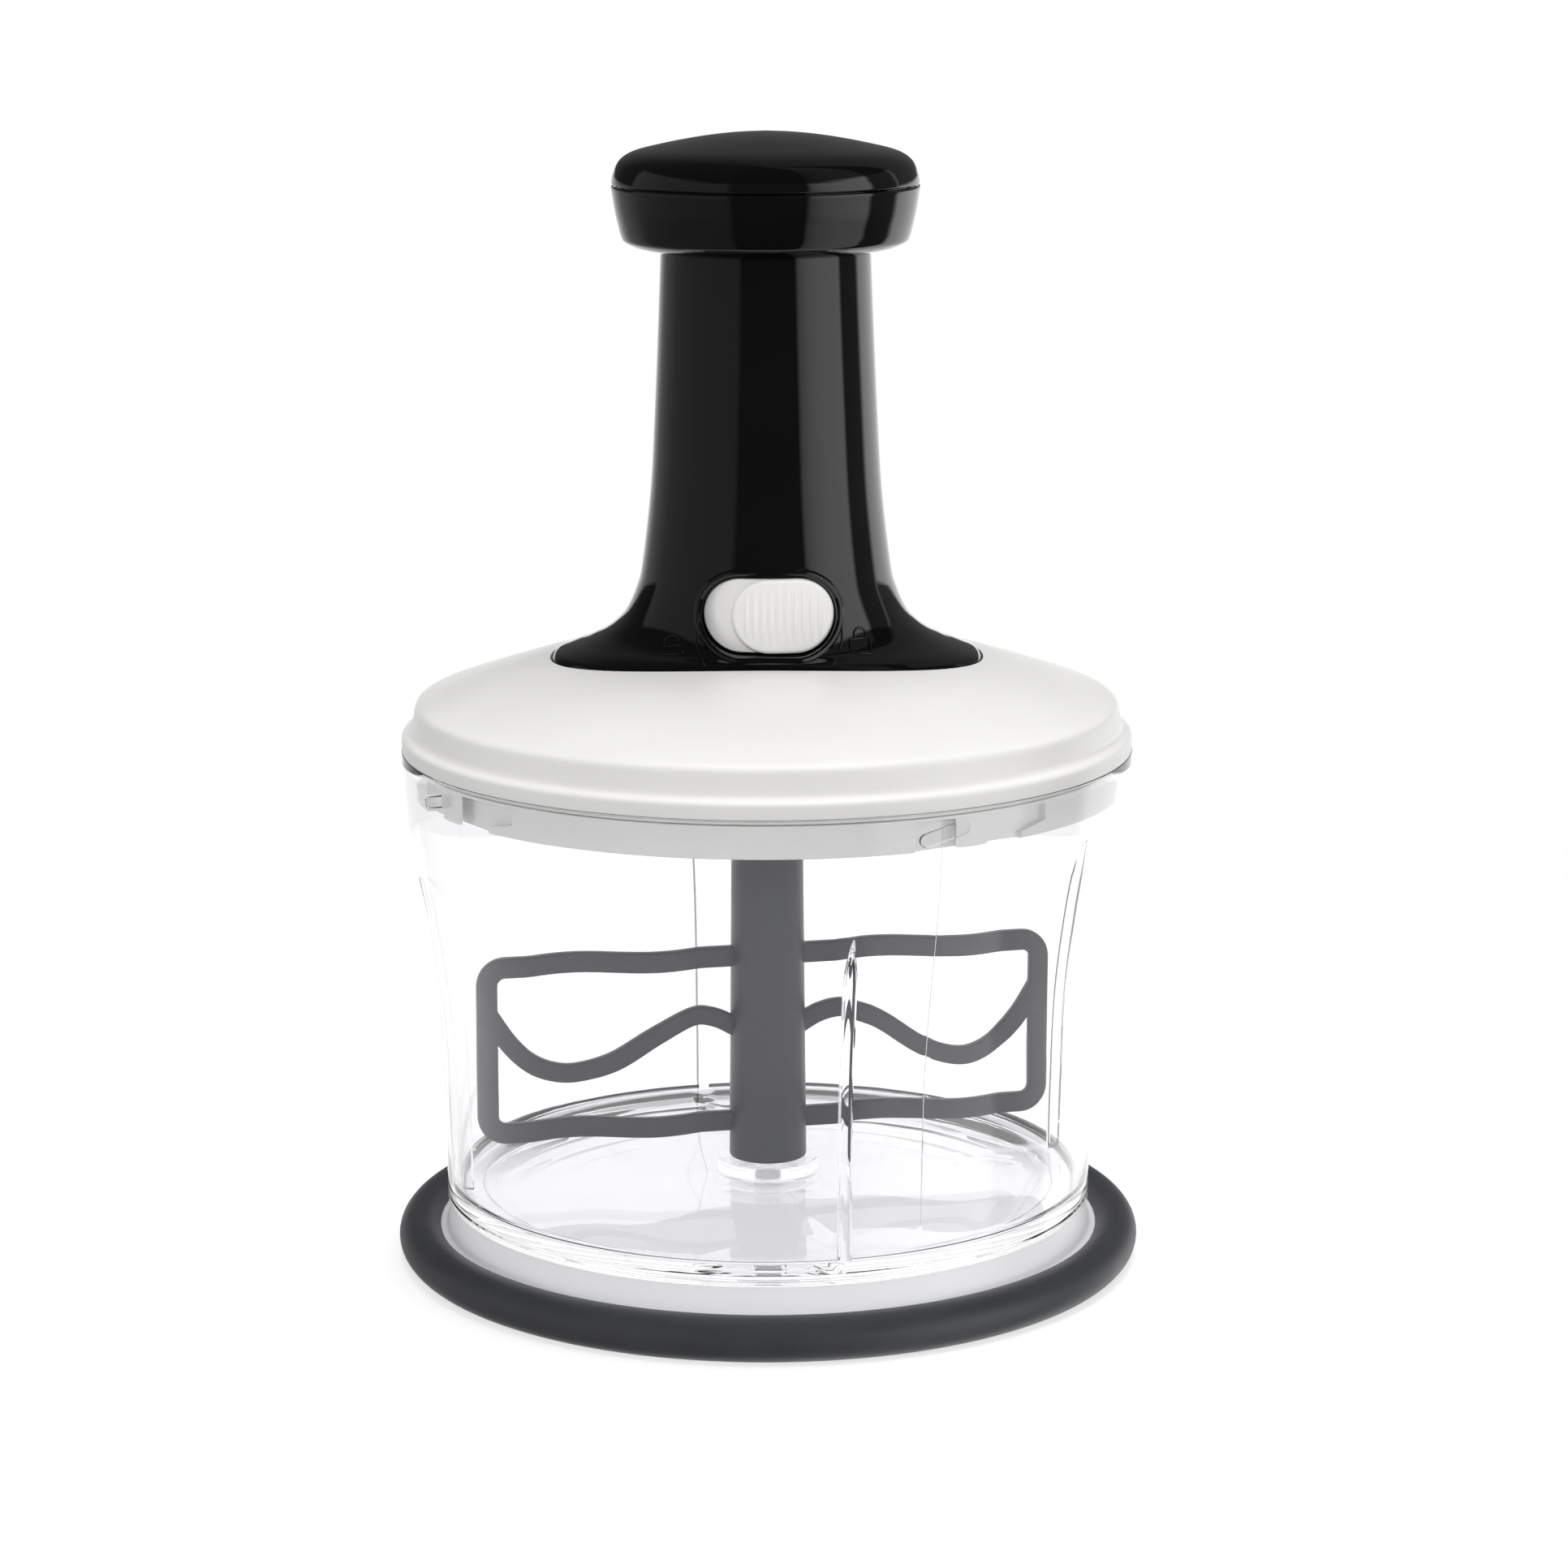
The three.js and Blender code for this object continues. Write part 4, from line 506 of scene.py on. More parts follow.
def dress(piece, body, slot, material, *nodes):
    """The finished piece gets its finish, rides on its body and stands for its engineering parts."""
    piece.data.materials.clear()
    piece.data.materials.append(material)
    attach(piece, body)
    if nodes:
        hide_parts(*nodes)
    low = [min(v.co[i] for v in piece.data.vertices) / MM for i in range(3)]
    high = [max(v.co[i] for v in piece.data.vertices) / MM for i in range(3)]
    print(piece.name, [round(v, 2) for v in low], [round(v, 2) for v in high], len(piece.data.polygons), "faces")
    return piece


def carve(piece, tool, operation="DIFFERENCE"):
    """Cuts the tool out of the piece, or joins it on, and removes the tool."""
    select_only(piece)
    cutter = piece.modifiers.new("carve", "BOOLEAN")
    cutter.operation = operation
    cutter.solver = "EXACT"
    cutter.object = tool
    bpy.ops.object.modifier_apply(modifier=cutter.name)
    bpy.data.objects.remove(tool)
    return piece


def copied(piece, degrees):
    """A copy with its own mesh, turned about the upright axis."""
    copy = piece.copy()
    copy.data = piece.data.copy()
    bpy.context.scene.collection.objects.link(copy)
    return turned_to(copy, degrees)


def size_mm(node):
    """Lowest and highest corner of an engineering part in millimetres."""
    low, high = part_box(node)
    return low / MM, high / MM


print("helpers ready")

# %% [markdown]
# ## Grip ring
#
# The object stands on a fat ring of grey rubber with a round section, pressed flat where it meets
# the table. A groove on its inside holds the base plate's edge. The section is an arc, so it is
# worked out as one.

# %% Grip ring
_, ring_high = size_mm("grip_ring")
plate_low, plate_high = size_mm("base_plate")
RING_SECTION = 4.87
PLATE_WALL = 1.8
GROOVE_GAP = 0.3
ring_middle = ring_high.x - RING_SECTION
ring_centre_z = ring_high.z - RING_SECTION
groove_low = plate_low.z - GROOVE_GAP
groove_high = plate_low.z + (PLATE_WALL + GROOVE_GAP)


def section_arc(start, end, steps):
    """Points of the ring's round section, from one angle to another."""
    angles = [start + (end - start) * i / steps for i in range(steps + 1)]
    return [(ring_middle + RING_SECTION * math.cos(a), ring_centre_z + RING_SECTION * math.sin(a)) for a in angles]


flat_angle = math.asin(ring_centre_z / RING_SECTION)
lip_angle = math.pi - math.asin((groove_high - ring_centre_z) / RING_SECTION)
low_lip_angle = math.pi + math.asin((ring_centre_z - groove_low) / RING_SECTION)
groove = [(plate_high.x + GROOVE_GAP, groove_high), (plate_high.x + GROOVE_GAP, groove_low)]
grip_ring = spun(
    "soft_grip_ring",
    section_arc(-flat_angle, lip_angle, 32) + groove + section_arc(low_lip_angle, math.pi + flat_angle, 10),
)
dress(grip_ring, "base", "ring_rubber", grey_rubber, "grip_ring")

# %% [markdown]
# ## Base plate
#
# A shallow white dish, upside down. Its rim slips into the ring's groove, and a low ridge on top
# centres the bowl's foot.

# %% Base plate
CENTRING_WIDTH = 2
CENTRING_HEIGHT = 0.4
CENTRING_RADIUS = 63.2
PLATEAU_RADIUS = 69.8
# The bowl's foot stands this much clear of the plate, so that no two faces lie in one plane.
FOOT_GAP = 0.05
bowl_low, bowl_high = size_mm("bowl")
top = bowl_low.z - FOOT_GAP
plate_edge = plate_low.z + PLATE_WALL
slope_out = ring_middle - RING_SECTION - 0.8
base_plate = spun("white_base_plate", softened([
    (0, top), (CENTRING_RADIUS - CENTRING_WIDTH, top, 0.3),
    (CENTRING_RADIUS - CENTRING_WIDTH, top + CENTRING_HEIGHT, 0.3),
    (CENTRING_RADIUS, top + CENTRING_HEIGHT, 0.3), (CENTRING_RADIUS, top, 0.3), (PLATEAU_RADIUS, top, 1.2),
    (slope_out, plate_edge, 0.8), (plate_high.x, plate_edge, 0.4), (plate_high.x, plate_low.z, 0.4),
    (slope_out - PLATE_WALL, plate_low.z, 0.4), (PLATEAU_RADIUS - PLATE_WALL, top - PLATE_WALL, 1),
    (0, top - PLATE_WALL),
]))
# The plate's finish carries painted light: a lighter white than the lid's, against the lid's shade.
dress(base_plate, "base", "white_plastic", plate_white_painted_light, "base_plate")

# %% [markdown]
# ## Bowl
#
# One clear moulding: a foot ring, a wall that flares smoothly to the rim, a boss in the floor for
# the spindle pin, four thin upright ribs that break up the food's swirl, and four slanted lugs
# under the rim that hold the lid. The round parts are spun together, and the ribs and lugs are
# then joined on, because in clear plastic an inner face would show.

# %% Bowl, round part
WALL = 2.4
FOOT_RADIUS = 71.6
FOOT_WIDTH = 8
FLOOR_Z = bowl_low.z + 4
RECESS_Z = bowl_low.z + 0.7
# The step inside the foot is almost upright, because a sloped one drew a black line along the foot.
FOOT_DRAFT = 0.05
BOSS_RADIUS = 11.2
BOSS_TOP = FLOOR_Z + 3.2
SOCKET_RADIUS = 3.3
SOCKET_FLOOR = RECESS_Z + 1.2
recess_radius = FOOT_RADIUS - FOOT_WIDTH
bowl_height = bowl_high.z - bowl_low.z
# height share of the bowl, share of the way from the foot's radius to the rim's
FLARE_SHARES = [
    (0.11, 0), (0.203, 0.03), (0.296, 0.06), (0.389, 0.108), (0.481, 0.217), (0.573, 0.373),
    (0.664, 0.554), (0.756, 0.747), (0.847, 0.904), (0.935, 0.99), (0.965, 1),
]
flare = smooth_line([
    (FOOT_RADIUS + (bowl_high.x - FOOT_RADIUS) * out, bowl_low.z + bowl_height * up) for up, out in FLARE_SHARES
], 4)
bowl = spun("clear_bowl", softened([
    (0, RECESS_Z), (recess_radius, RECESS_Z, 0.15), (recess_radius + FOOT_DRAFT, bowl_low.z, 0.15),
    (FOOT_RADIUS, bowl_low.z, 0.3), *flare, (bowl_high.x, bowl_high.z, 0.12),
    (bowl_high.x - WALL, bowl_high.z, 0.12), *[(r - WALL, z) for r, z in reversed(flare)],
    (FOOT_RADIUS - WALL, FLOOR_Z, 2.2), (BOSS_RADIUS, FLOOR_Z, 0.8), (BOSS_RADIUS, BOSS_TOP, 0.6),
    (SOCKET_RADIUS, BOSS_TOP, 0.3), (SOCKET_RADIUS, SOCKET_FLOOR), (0, SOCKET_FLOOR),
]))

# %% Bowl, ribs and lugs
# angles from the front, in degrees
RIB_TURN = 13.4
RIB_DEPTH = 3
RIB_WIDTH = 2.4
RIB_TIP = 9
RIB_TIP_WIDTH = 0.3
RIB_SHARE = 0.745
LUG_TURN = 27.7
LUG_LENGTH = 11.7
LUG_THICKNESS = 2.85
LUG_SLOPE = 12.5
LUG_DEPTH = 1.3
LUG_Z = bowl_high.z - 5.2
QUARTERS = (0, 90, 180, 270)
rib_top = bowl_low.z + bowl_height * RIB_SHARE


def rib():
    """A thin fin up the wall, that narrows and sinks into the wall at its tip."""
    wall_line = [(FOOT_RADIUS, FLOOR_Z - 0.8)] + [(r, z) for r, z in flare if z < rib_top]
    wall_line.append((wall_line[-1][0] + 0.3, rib_top))
    rings = []
    for r, z in wall_line:
        full = min(1, (rib_top - z) / RIB_TIP)
        half = (RIB_TIP_WIDTH + (RIB_WIDTH - RIB_TIP_WIDTH) * full) / 2
        inner, back = r - WALL - RIB_DEPTH * full ** 0.5 + 0.1, r - WALL / 2
        section = [
            (-half, inner + 0.3), (-half * 0.5, inner), (half * 0.5, inner), (half, inner + 0.3),
            (half, back), (-half, back),
        ]
        rings.append([Vector((x, -y, z)) * MM for x, y in section])
    return tent("rib", rings)


def stadium_line(half_length, half_height, steps=32):
    """The outline of a bar with round ends, as places across and up."""
    straight = half_length - half_height
    line = []
    for side in (1, -1):
        for i in range(steps + 1):
            angle = math.pi * (i / steps - side / 2)
            line.append((side * straight + half_height * math.cos(angle), half_height * math.sin(angle)))
    return line


def stadium(name, half_length, half_height, depth, steps=32):
    """A flat bar with round ends in the XZ plane, its back at y = 0, grown towards -Y."""
    outline = stadium_line(half_length, half_height, steps)
    return fill_and_pull(point_chain(name, [(x * MM, 0, z * MM) for x, z in outline]), (0, -depth * MM, 0))


def rounded(piece, width, segments=3):
    """Rounds every sharp edge of a piece."""
    select_only(piece)
    edge = piece.modifiers.new("edge", "BEVEL")
    edge.width = width * MM
    edge.segments = segments
    bpy.ops.object.modifier_apply(modifier=edge.name)
    return piece


def as_curve():
    """Makes a curve of the line that is being edited."""
    bpy.ops.object.mode_set(mode="OBJECT")
    bpy.ops.object.convert(target="CURVE")
    return bpy.context.object


def as_solid(curve):
    """Makes a closed mesh of a curve that has been given a section."""
    curve.data.use_fill_caps = True
    bpy.ops.object.convert(target="MESH")
    bpy.ops.object.mode_set(mode="EDIT")
    return finish_mesh(bpy.context.object, 60)


def bead(name, places, radius, closed=False):
    """A thin round line through places in metres, as a solid."""
    point_chain(name, places + places[:1] if closed else places)
    merge_doubles()
    line = as_curve()
    line.data.dimensions = "3D"
    line.data.bevel_depth = radius * MM
    line.data.bevel_resolution = 3
    return as_solid(line)


def lug():
    """A slanted bar that stands out of the wall's inside, turned to its place round the bowl."""
    piece = rounded(stadium("lug", LUG_LENGTH / 2, LUG_THICKNESS / 2, LUG_DEPTH + WALL / 2, steps=12), 0.45)
    slope = Matrix.Rotation(math.radians(-LUG_SLOPE), 4, "Y")
    inner_face = bowl_high.x - WALL - LUG_DEPTH
    piece.data.transform(Matrix.Translation((0, -inner_face * MM, LUG_Z * MM)) @ slope)
    return turned_to(piece, LUG_TURN)


def join_four(piece, first, turn=0):
    """Joins four copies on, a quarter of a turn apart, and removes the first one."""
    for quarter in QUARTERS:
        carve(piece, copied(first, quarter + turn), "UNION")
    bpy.data.objects.remove(first)


join_four(bowl, rib(), RIB_TURN)
join_four(bowl, lug())
# A fine upright line on the outside, where the halves of the mould meet.
PARTING_TURN = 26.5
PARTING_RADIUS = 0.14
PARTING_SINK = 0.04
parting = bead("parting_line", [Vector((0, -(r - PARTING_SINK) * MM, z * MM)) for r, z in flare[::2]], PARTING_RADIUS)
carve(bowl, turned_to(parting, PARTING_TURN), "UNION")
shade()
# Cycles draws the shadow of clear plastic as dark as any other, so the bowl throws none.
bowl.visible_shadow = False
dress(bowl, "bowl", "clear_plastic", clear_polycarbonate, "bowl")

# %% [markdown]
# ## Whisk
#
# A grey moulding: a slightly tapered hub and two flat wings. Each wing is a frame with a wavy bar
# across it, and in plan it swings to and fro in a shallow S, which makes its straight bars look
# wavy from the front. Each bar is a line with a rounded section drawn along it, as a pipe is bent.

# %% Whisk, bars
whisk_low, whisk_high = size_mm("whisk")
WING_TURN = 12
WING_REACH = 65
WING_RISE = 6.1
WING_HEIGHT = 42.3
BAR_WIDTH = 4.6
WAVE_WIDTH = 4.2
WING_THICKNESS = 2.5
WING_CORNER = 4
BAR_FILLET = 0.7
BEND = 2.2
BEND_START, BEND_END = 0.238 * WING_REACH, 0.823 * WING_REACH
HUB_LOW_RADIUS, HUB_HIGH_RADIUS = 8.6, 7.8
PATH_STEP = 1.6
# share of the wing's reach, share of its height
WAVE_SHARES = [
    (0.11, 0.56), (0.185, 0.62), (0.27, 0.632), (0.4, 0.545), (0.54, 0.405), (0.66, 0.35),
    (0.75, 0.37), (0.83, 0.44), (0.9, 0.555), (0.968, 0.72),
]


def bar_section(width, thickness):
    """The rounded section of a bar, as a closed curve for other curves to follow."""
    half_w, half_t = width / 2, thickness / 2
    corners = [(half_t, half_w), (-half_t, half_w), (-half_t, -half_w), (half_t, -half_w)]
    line = softened([(x, y, BAR_FILLET) for x, y in corners], 3)
    point_chain("section", [(x * MM, y * MM, 0) for x, y in line + line[:1]])
    merge_doubles()
    return as_curve()


def bent_bar(name, line, width):
    """A bar of rounded section along a line of (radius, height) points."""
    section = bar_section(width, WING_THICKNESS)
    point_chain(name, [(r * MM, 0, z * MM) for r, z in line])
    bar = as_curve()
    bar.data.dimensions = "3D"
    bar.data.bevel_mode = "OBJECT"
    bar.data.bevel_object = section
    bar = as_solid(bar)
    bpy.data.objects.remove(section)
    return bar


bar_low = whisk_low.z + WING_RISE + BAR_WIDTH / 2
bar_high = whisk_low.z + WING_RISE + WING_HEIGHT - BAR_WIDTH / 2
bar_start = 6
bar_end = WING_REACH - BAR_WIDTH / 2
corner_start = bar_end - WING_CORNER
straight_steps = round((corner_start - bar_start) / PATH_STEP)
out_line = [bar_start + (corner_start - bar_start) * i / straight_steps for i in range(straight_steps)]
corner_arc = [
    (corner_start + WING_CORNER * math.sin(a), WING_CORNER * math.cos(a))
    for a in [math.pi / 2 * k / 8 for k in range(9)]
]
frame_line = (
    [(r, bar_low) for r in out_line]
    + [(r, bar_low + WING_CORNER - drop) for r, drop in corner_arc]
    + [(r, bar_high - WING_CORNER + rise) for r, rise in reversed(corner_arc)]
    + [(r, bar_high) for r in reversed(out_line)]
)
wave_line = smooth_line([
    (WING_REACH * out, whisk_low.z + WING_RISE + WING_HEIGHT * up) for out, up in WAVE_SHARES
], 5)
wing = bent_bar("wing_frame", frame_line, BAR_WIDTH)
carve(wing, bent_bar("wing_wave", [tuple(p) for p in wave_line], WAVE_WIDTH), "UNION")
for v in wing.data.vertices:
    share = (v.co.x / MM - BEND_START) / (BEND_END - BEND_START)
    if 0 < share < 1:
        v.co.y += BEND * MM * math.sin(2 * math.pi * share)
print("wing", len(wing.data.polygons), "faces")

# %% Whisk, hub
# The hub turns on the pin from below. The shaft and its two dogs enter it from above.
PIN_BORE, PIN_BORE_TOP = 3.4, 50.4
SHAFT_BORE, SHAFT_BORE_LOW = 4.3, 62
SOCKET_BORE, SOCKET_LOW = 5.4, 86
DOG_SLOT_IN, DOG_SLOT_OUT = 4.6, 6.5
DOG_SLOT_HALF = 37
whisk = spun("grey_whisk", softened([
    (PIN_BORE, whisk_low.z, 0.3), (HUB_LOW_RADIUS, whisk_low.z, 0.6), (HUB_HIGH_RADIUS, whisk_high.z, 0.5),
    (SOCKET_BORE, whisk_high.z, 0.3), (SOCKET_BORE, SOCKET_LOW), (SHAFT_BORE, SOCKET_LOW),
    (SHAFT_BORE, SHAFT_BORE_LOW), (0, SHAFT_BORE_LOW), (0, PIN_BORE_TOP), (PIN_BORE, PIN_BORE_TOP),
]), steps=64)
slot_top = whisk_high.z + 1
slot_outline = [
    (DOG_SLOT_IN, SOCKET_LOW), (DOG_SLOT_OUT, SOCKET_LOW), (DOG_SLOT_OUT, slot_top), (DOG_SLOT_IN, slot_top),
]
for half_turn in (0, 180):
    slot_cut = spun("dog_slot", slot_outline, steps=12, degrees=2 * DOG_SLOT_HALF)
    carve(whisk, turned_to(slot_cut, half_turn - DOG_SLOT_HALF))
carve(whisk, copied(wing, WING_TURN), "UNION")
carve(whisk, turned_to(wing, WING_TURN + 180), "UNION")
shade(45)
dress(whisk, "whisk", "grey_plastic", grey_nylon, "whisk")

# %% [markdown]
# ## Lid
#
# The white cover is a shallow cone with a soft shoulder, a short upright wall and a ledge that
# rests on the bowl's rim. The handle column's foot sits in a flat pocket in its top. Under it, the
# lid plate closes the bowl: its skirt goes down inside the wall, with a channel and a wedge for
# each of the bowl's lugs.

# %% Outline of the column's foot
column_low, column_high = size_mm("handle_column")
FOOT_HALF_WIDTH = column_high.x
FOOT_HALF_DEPTH = column_high.y
FOOT_POWER = 2.25
COLUMN_STEPS = 96


def oval_point(half_width, half_depth, power, angle):
    """A point of an oval that is a little squarer than an ellipse where the power is over 2."""
    c, s = math.cos(angle), math.sin(angle)
    return (
        math.copysign(half_width * abs(c) ** (2 / power), c),
        math.copysign(half_depth * abs(s) ** (2 / power), s),
    )


def foot_block(extra, low, high):
    """An upright block on the foot's outline, a little larger all round."""
    outline = [
        oval_point(FOOT_HALF_WIDTH + extra, FOOT_HALF_DEPTH + extra, FOOT_POWER, 2 * math.pi * i / COLUMN_STEPS)
        for i in range(COLUMN_STEPS)
    ]
    piece = point_chain("foot_block", [(x * MM, y * MM, low * MM) for x, y in outline])
    return fill_and_pull(piece, (0, 0, (high - low) * MM))


print("foot", round(2 * FOOT_HALF_WIDTH, 1), "by", round(2 * FOOT_HALF_DEPTH, 1), "mm")

# %% Lid cover
cover_low, cover_high = size_mm("lid_cover")
LEDGE_RADIUS = cover_high.x
# The ledge comes down until it all but touches the bowl's rim.
LEDGE_DROP = 0.27
ledge_z = cover_low.z - LEDGE_DROP
WALL_RADIUS = LEDGE_RADIUS - 2.3
WALL_TOP = cover_low.z + 7.8
DOME_TOP = cover_low.z + 23.1
POCKET_Z = DOME_TOP - 5.4
POCKET_GAP = 0.35
COVER_WALL = 2.2
COVER_BORE = 5.2
UNDERSIDE_Z = POCKET_Z - COVER_WALL
# share of the wall's radius, height in millimetres over the wall
DOME_STEPS = [
    (0.988, 1.5), (0.971, 2.5), (0.928, 3.7), (0.851, 5.75), (0.773, 7.7),
    (0.645, 10.7), (0.516, 12.8), (0.387, 14.2), (0.232, 15),
]
dome = smooth_line(
    [(WALL_RADIUS - 0.5, WALL_TOP)] + [(WALL_RADIUS * out, WALL_TOP + up) for out, up in DOME_STEPS], 4
)
lid_cover = spun("white_lid_cover", softened([
    (WALL_RADIUS - COVER_WALL, ledge_z, 0.3), (LEDGE_RADIUS, ledge_z, 0.15),
    (LEDGE_RADIUS, cover_low.z + 3.1, 1.4), (WALL_RADIUS, cover_low.z + 3.9, 1.6),
    *dome, (COVER_BORE, DOME_TOP), (COVER_BORE, UNDERSIDE_Z), (50, UNDERSIDE_Z, 8), (60, UNDERSIDE_Z - 2.3, 8),
    (73.2, WALL_TOP + 0.6, 2), (WALL_RADIUS - COVER_WALL, WALL_TOP - 1.5, 1),
]))
carve(lid_cover, foot_block(POCKET_GAP, POCKET_Z, DOME_TOP + 1))
shade()
dress(lid_cover, "lid", "white_plastic", white_abs, "lid_cover")

# %% Lid plate and seal
skirt_low, skirt_high = size_mm("lid_plate")
seal_low, seal_high = size_mm("lid_seal")
SKIRT_RADIUS = skirt_high.x
SKIRT_WALL = 3.3
SPIGOT_RADIUS = WALL_RADIUS - 2.6
LID_PLATE_WALL = 2
LID_PLATE_BORE = 6.8
SEAL_SEAT = SKIRT_RADIUS - 1.5
seat_z = seal_low.z - 0.3
skirt_in = SKIRT_RADIUS - SKIRT_WALL
spigot_in = SPIGOT_RADIUS - LID_PLATE_WALL
plate_z = skirt_low.z + 1.35
lid_plate = spun("white_lid_plate", softened([
    (LID_PLATE_BORE, plate_z), (skirt_in, plate_z, 0.4), (skirt_in, skirt_low.z, 0.4),
    (SKIRT_RADIUS, skirt_low.z, 0.4), (SKIRT_RADIUS, seat_z, 0.3), (SEAL_SEAT, seat_z),
    (SEAL_SEAT, seal_high.z), (SPIGOT_RADIUS, seal_high.z), (SPIGOT_RADIUS, skirt_high.z, 0.4),
    (spigot_in, skirt_high.z, 0.4), (spigot_in, plate_z + LID_PLATE_WALL),
    (LID_PLATE_BORE, plate_z + LID_PLATE_WALL),
]))
LUG_HALF_TURN = math.degrees(LUG_LENGTH / 2 / (bowl_high.x - WALL))
CLOSING_TURN = 15
CHANNEL_PLAY = 0.6
CHANNEL_DEPTH = 1.4
# The wedge fills this share of the lug's length at the closed end of its channel.
WEDGE_SHARE = 0.62
channel_start = LUG_TURN - LUG_HALF_TURN - CHANNEL_PLAY
channel_end = LUG_TURN + LUG_HALF_TURN + CLOSING_TURN + CHANNEL_PLAY
wedge_start = channel_end - 2 * LUG_HALF_TURN * WEDGE_SHARE
channel_floor = SKIRT_RADIUS - CHANNEL_DEPTH
channel_top = LUG_Z + 2.9
# A spin starts on the right. The front is a quarter of a turn back from there.
FRONT = -90


def channel_cut(start, end, low_start, low_end):
    """A tool that cuts one stretch of a lug's channel, its underside rising along the way."""
    outside = SKIRT_RADIUS + 1
    tool = spun("channel", [
        (channel_floor, low_start), (outside, low_start), (outside, channel_top), (channel_floor, channel_top),
    ], steps=1, degrees=end - start)
    for v in tool.data.vertices:
        if v.co.y > JOINT_TOLERANCE and v.co.z < (low_start + 0.01) * MM:
            v.co.z = low_end * MM
    return turned_to(tool, start + FRONT)


for quarter in QUARTERS:
    carve(lid_plate, turned_to(channel_cut(channel_start, wedge_start, skirt_low.z - 1, skirt_low.z - 1), quarter))
    carve(lid_plate, turned_to(channel_cut(wedge_start - 0.3, channel_end, plate_z, plate_z + 1.5), quarter))
shade()
dress(lid_plate, "lid", "white_plastic", white_abs, "lid_plate")
seal_out, seal_in = seal_high.x, SEAL_SEAT + 0.4
lid_seal = spun("silicone_lid_seal", softened([
    (seal_in, seal_low.z), (seal_out, seal_low.z, 0.5), (seal_out, seal_high.z, 0.5), (seal_in, seal_high.z),
]))
dress(lid_seal, "seal", "seal_silicone", silicone, "lid_seal")

# %% [markdown]
# ## Handle column
#
# Glossy black and round at the top, it flares into a wide oval foot. It is built like a tent:
# ring above ring, each an oval of its own width and depth, and the wall is then given its
# thickness. The foot's ovals are a little squarer than an ellipse, which no resize gives, so each
# ring's points are placed by a formula.

# %% Column shell
COLUMN_HEIGHT = column_high.z - column_low.z
TOP_RADIUS = 22.5
COLUMN_WALL = 2
# height share, then shares of the way from the top radius to the foot's half width and half depth
COLUMN_SHARES = [
    (0, 0.985, 0.97), (0.007, 1, 1), (0.0175, 0.985, 0.998), (0.027, 0.952, 0.99), (0.036, 0.868, 0.97),
    (0.044, 0.79, 0.94), (0.052, 0.71, 0.86), (0.062, 0.632, 0.7), (0.076, 0.531, 0.58), (0.098, 0.424, 0.53),
    (0.128, 0.327, 0.5), (0.185, 0.233, 0.45), (0.242, 0.184, 0.4), (0.417, 0.106, 0.2), (0.6, 0.065, 0.11),
    (0.8, 0.03, 0.05), (1, 0, 0),
]
levels = smooth_line(COLUMN_SHARES, 4)


def column_oval(level):
    """Half width, half depth and squareness of the column's outside at a level."""
    _, width, depth = level
    return (
        TOP_RADIUS + (FOOT_HALF_WIDTH - TOP_RADIUS) * width,
        TOP_RADIUS + (FOOT_HALF_DEPTH - TOP_RADIUS) * depth,
        2 + (FOOT_POWER - 2) * depth,
    )


def column_ring(level, inset):
    """The points of one ring of the column's wall, drawn in by the inset."""
    half_width, half_depth, power = column_oval(level)
    z = column_low.z + COLUMN_HEIGHT * level[0] - inset
    return [
        Vector((*oval_point(half_width - inset, half_depth - inset, power, 2 * math.pi * i / COLUMN_STEPS), z)) * MM
        for i in range(COLUMN_STEPS)
    ]


def on_column(x, z):
    """The place on the column's front face that is seen at x and z, in metres."""
    up = (z - column_low.z) / COLUMN_HEIGHT
    above = next(i for i, level in enumerate(levels) if level[0] >= up)
    lower, upper = levels[above - 1], levels[above]
    half_width, half_depth, power = column_oval(lower.lerp(upper, (up - lower[0]) / (upper[0] - lower[0])))
    return Vector((x, -half_depth * (1 - abs(x / half_width) ** power) ** (1 / power), z)) * MM


column = tent("black_handle_column", [column_ring(level, 0) for level in levels])
hollow_levels = [level for level in levels if COLUMN_HEIGHT * level[0] > COLUMN_WALL]
hollow_rings = [column_ring(level, COLUMN_WALL) for level in hollow_levels]
below = [Vector((p.x, p.y, (column_low.z - 1) * MM)) for p in hollow_rings[0]]
above = [Vector((p.x, p.y, (column_high.z + 1) * MM)) for p in hollow_rings[-1]]
carve(column, tent("hollow", [below, *hollow_rings, above]))
print("column wall", len(column.data.polygons), "faces")

# %% Window with its bevelled edge
plate_box_low, plate_box_high = size_mm("lock_plate")
WINDOW_Z = (plate_box_low.z + plate_box_high.z) / 2
WINDOW_GAP = 0.35
WINDOW_HALF_WIDTH = plate_box_high.x + WINDOW_GAP
WINDOW_HALF_HEIGHT = plate_box_high.z - WINDOW_Z + WINDOW_GAP
WINDOW_X = 0.5
# The cut starts behind the wall and ends in front of it.
WINDOW_CUT_BACK, WINDOW_CUT_DEPTH = -18.3, 20
LIP_RADIUS = 0.9
LIP_SINK = 0.4
window = stadium("window", WINDOW_HALF_WIDTH, WINDOW_HALF_HEIGHT, WINDOW_CUT_DEPTH)
window.data.transform(Matrix.Translation((WINDOW_X * MM, WINDOW_CUT_BACK * MM, WINDOW_Z * MM)))
carve(column, window)
lip_line = [
    on_column(WINDOW_X + x, WINDOW_Z + z) + Vector((0, LIP_SINK * MM, 0))
    for x, z in stadium_line(WINDOW_HALF_WIDTH + LIP_RADIUS, WINDOW_HALF_HEIGHT + LIP_RADIUS, 40)
]
carve(column, bead("window_lip", lip_line, LIP_RADIUS, closed=True), "UNION")
shade(30)

# %% [markdown]
# Fine raised lines run down from the window's ends to the foot, where the front panel of the mould
# was set in. Beside them, an open and a closed padlock show which way the button locks. They are
# thin beads laid on the column, and they sink halfway into it.

# %% Raised lines and padlocks
LINE_RADIUS = 0.26
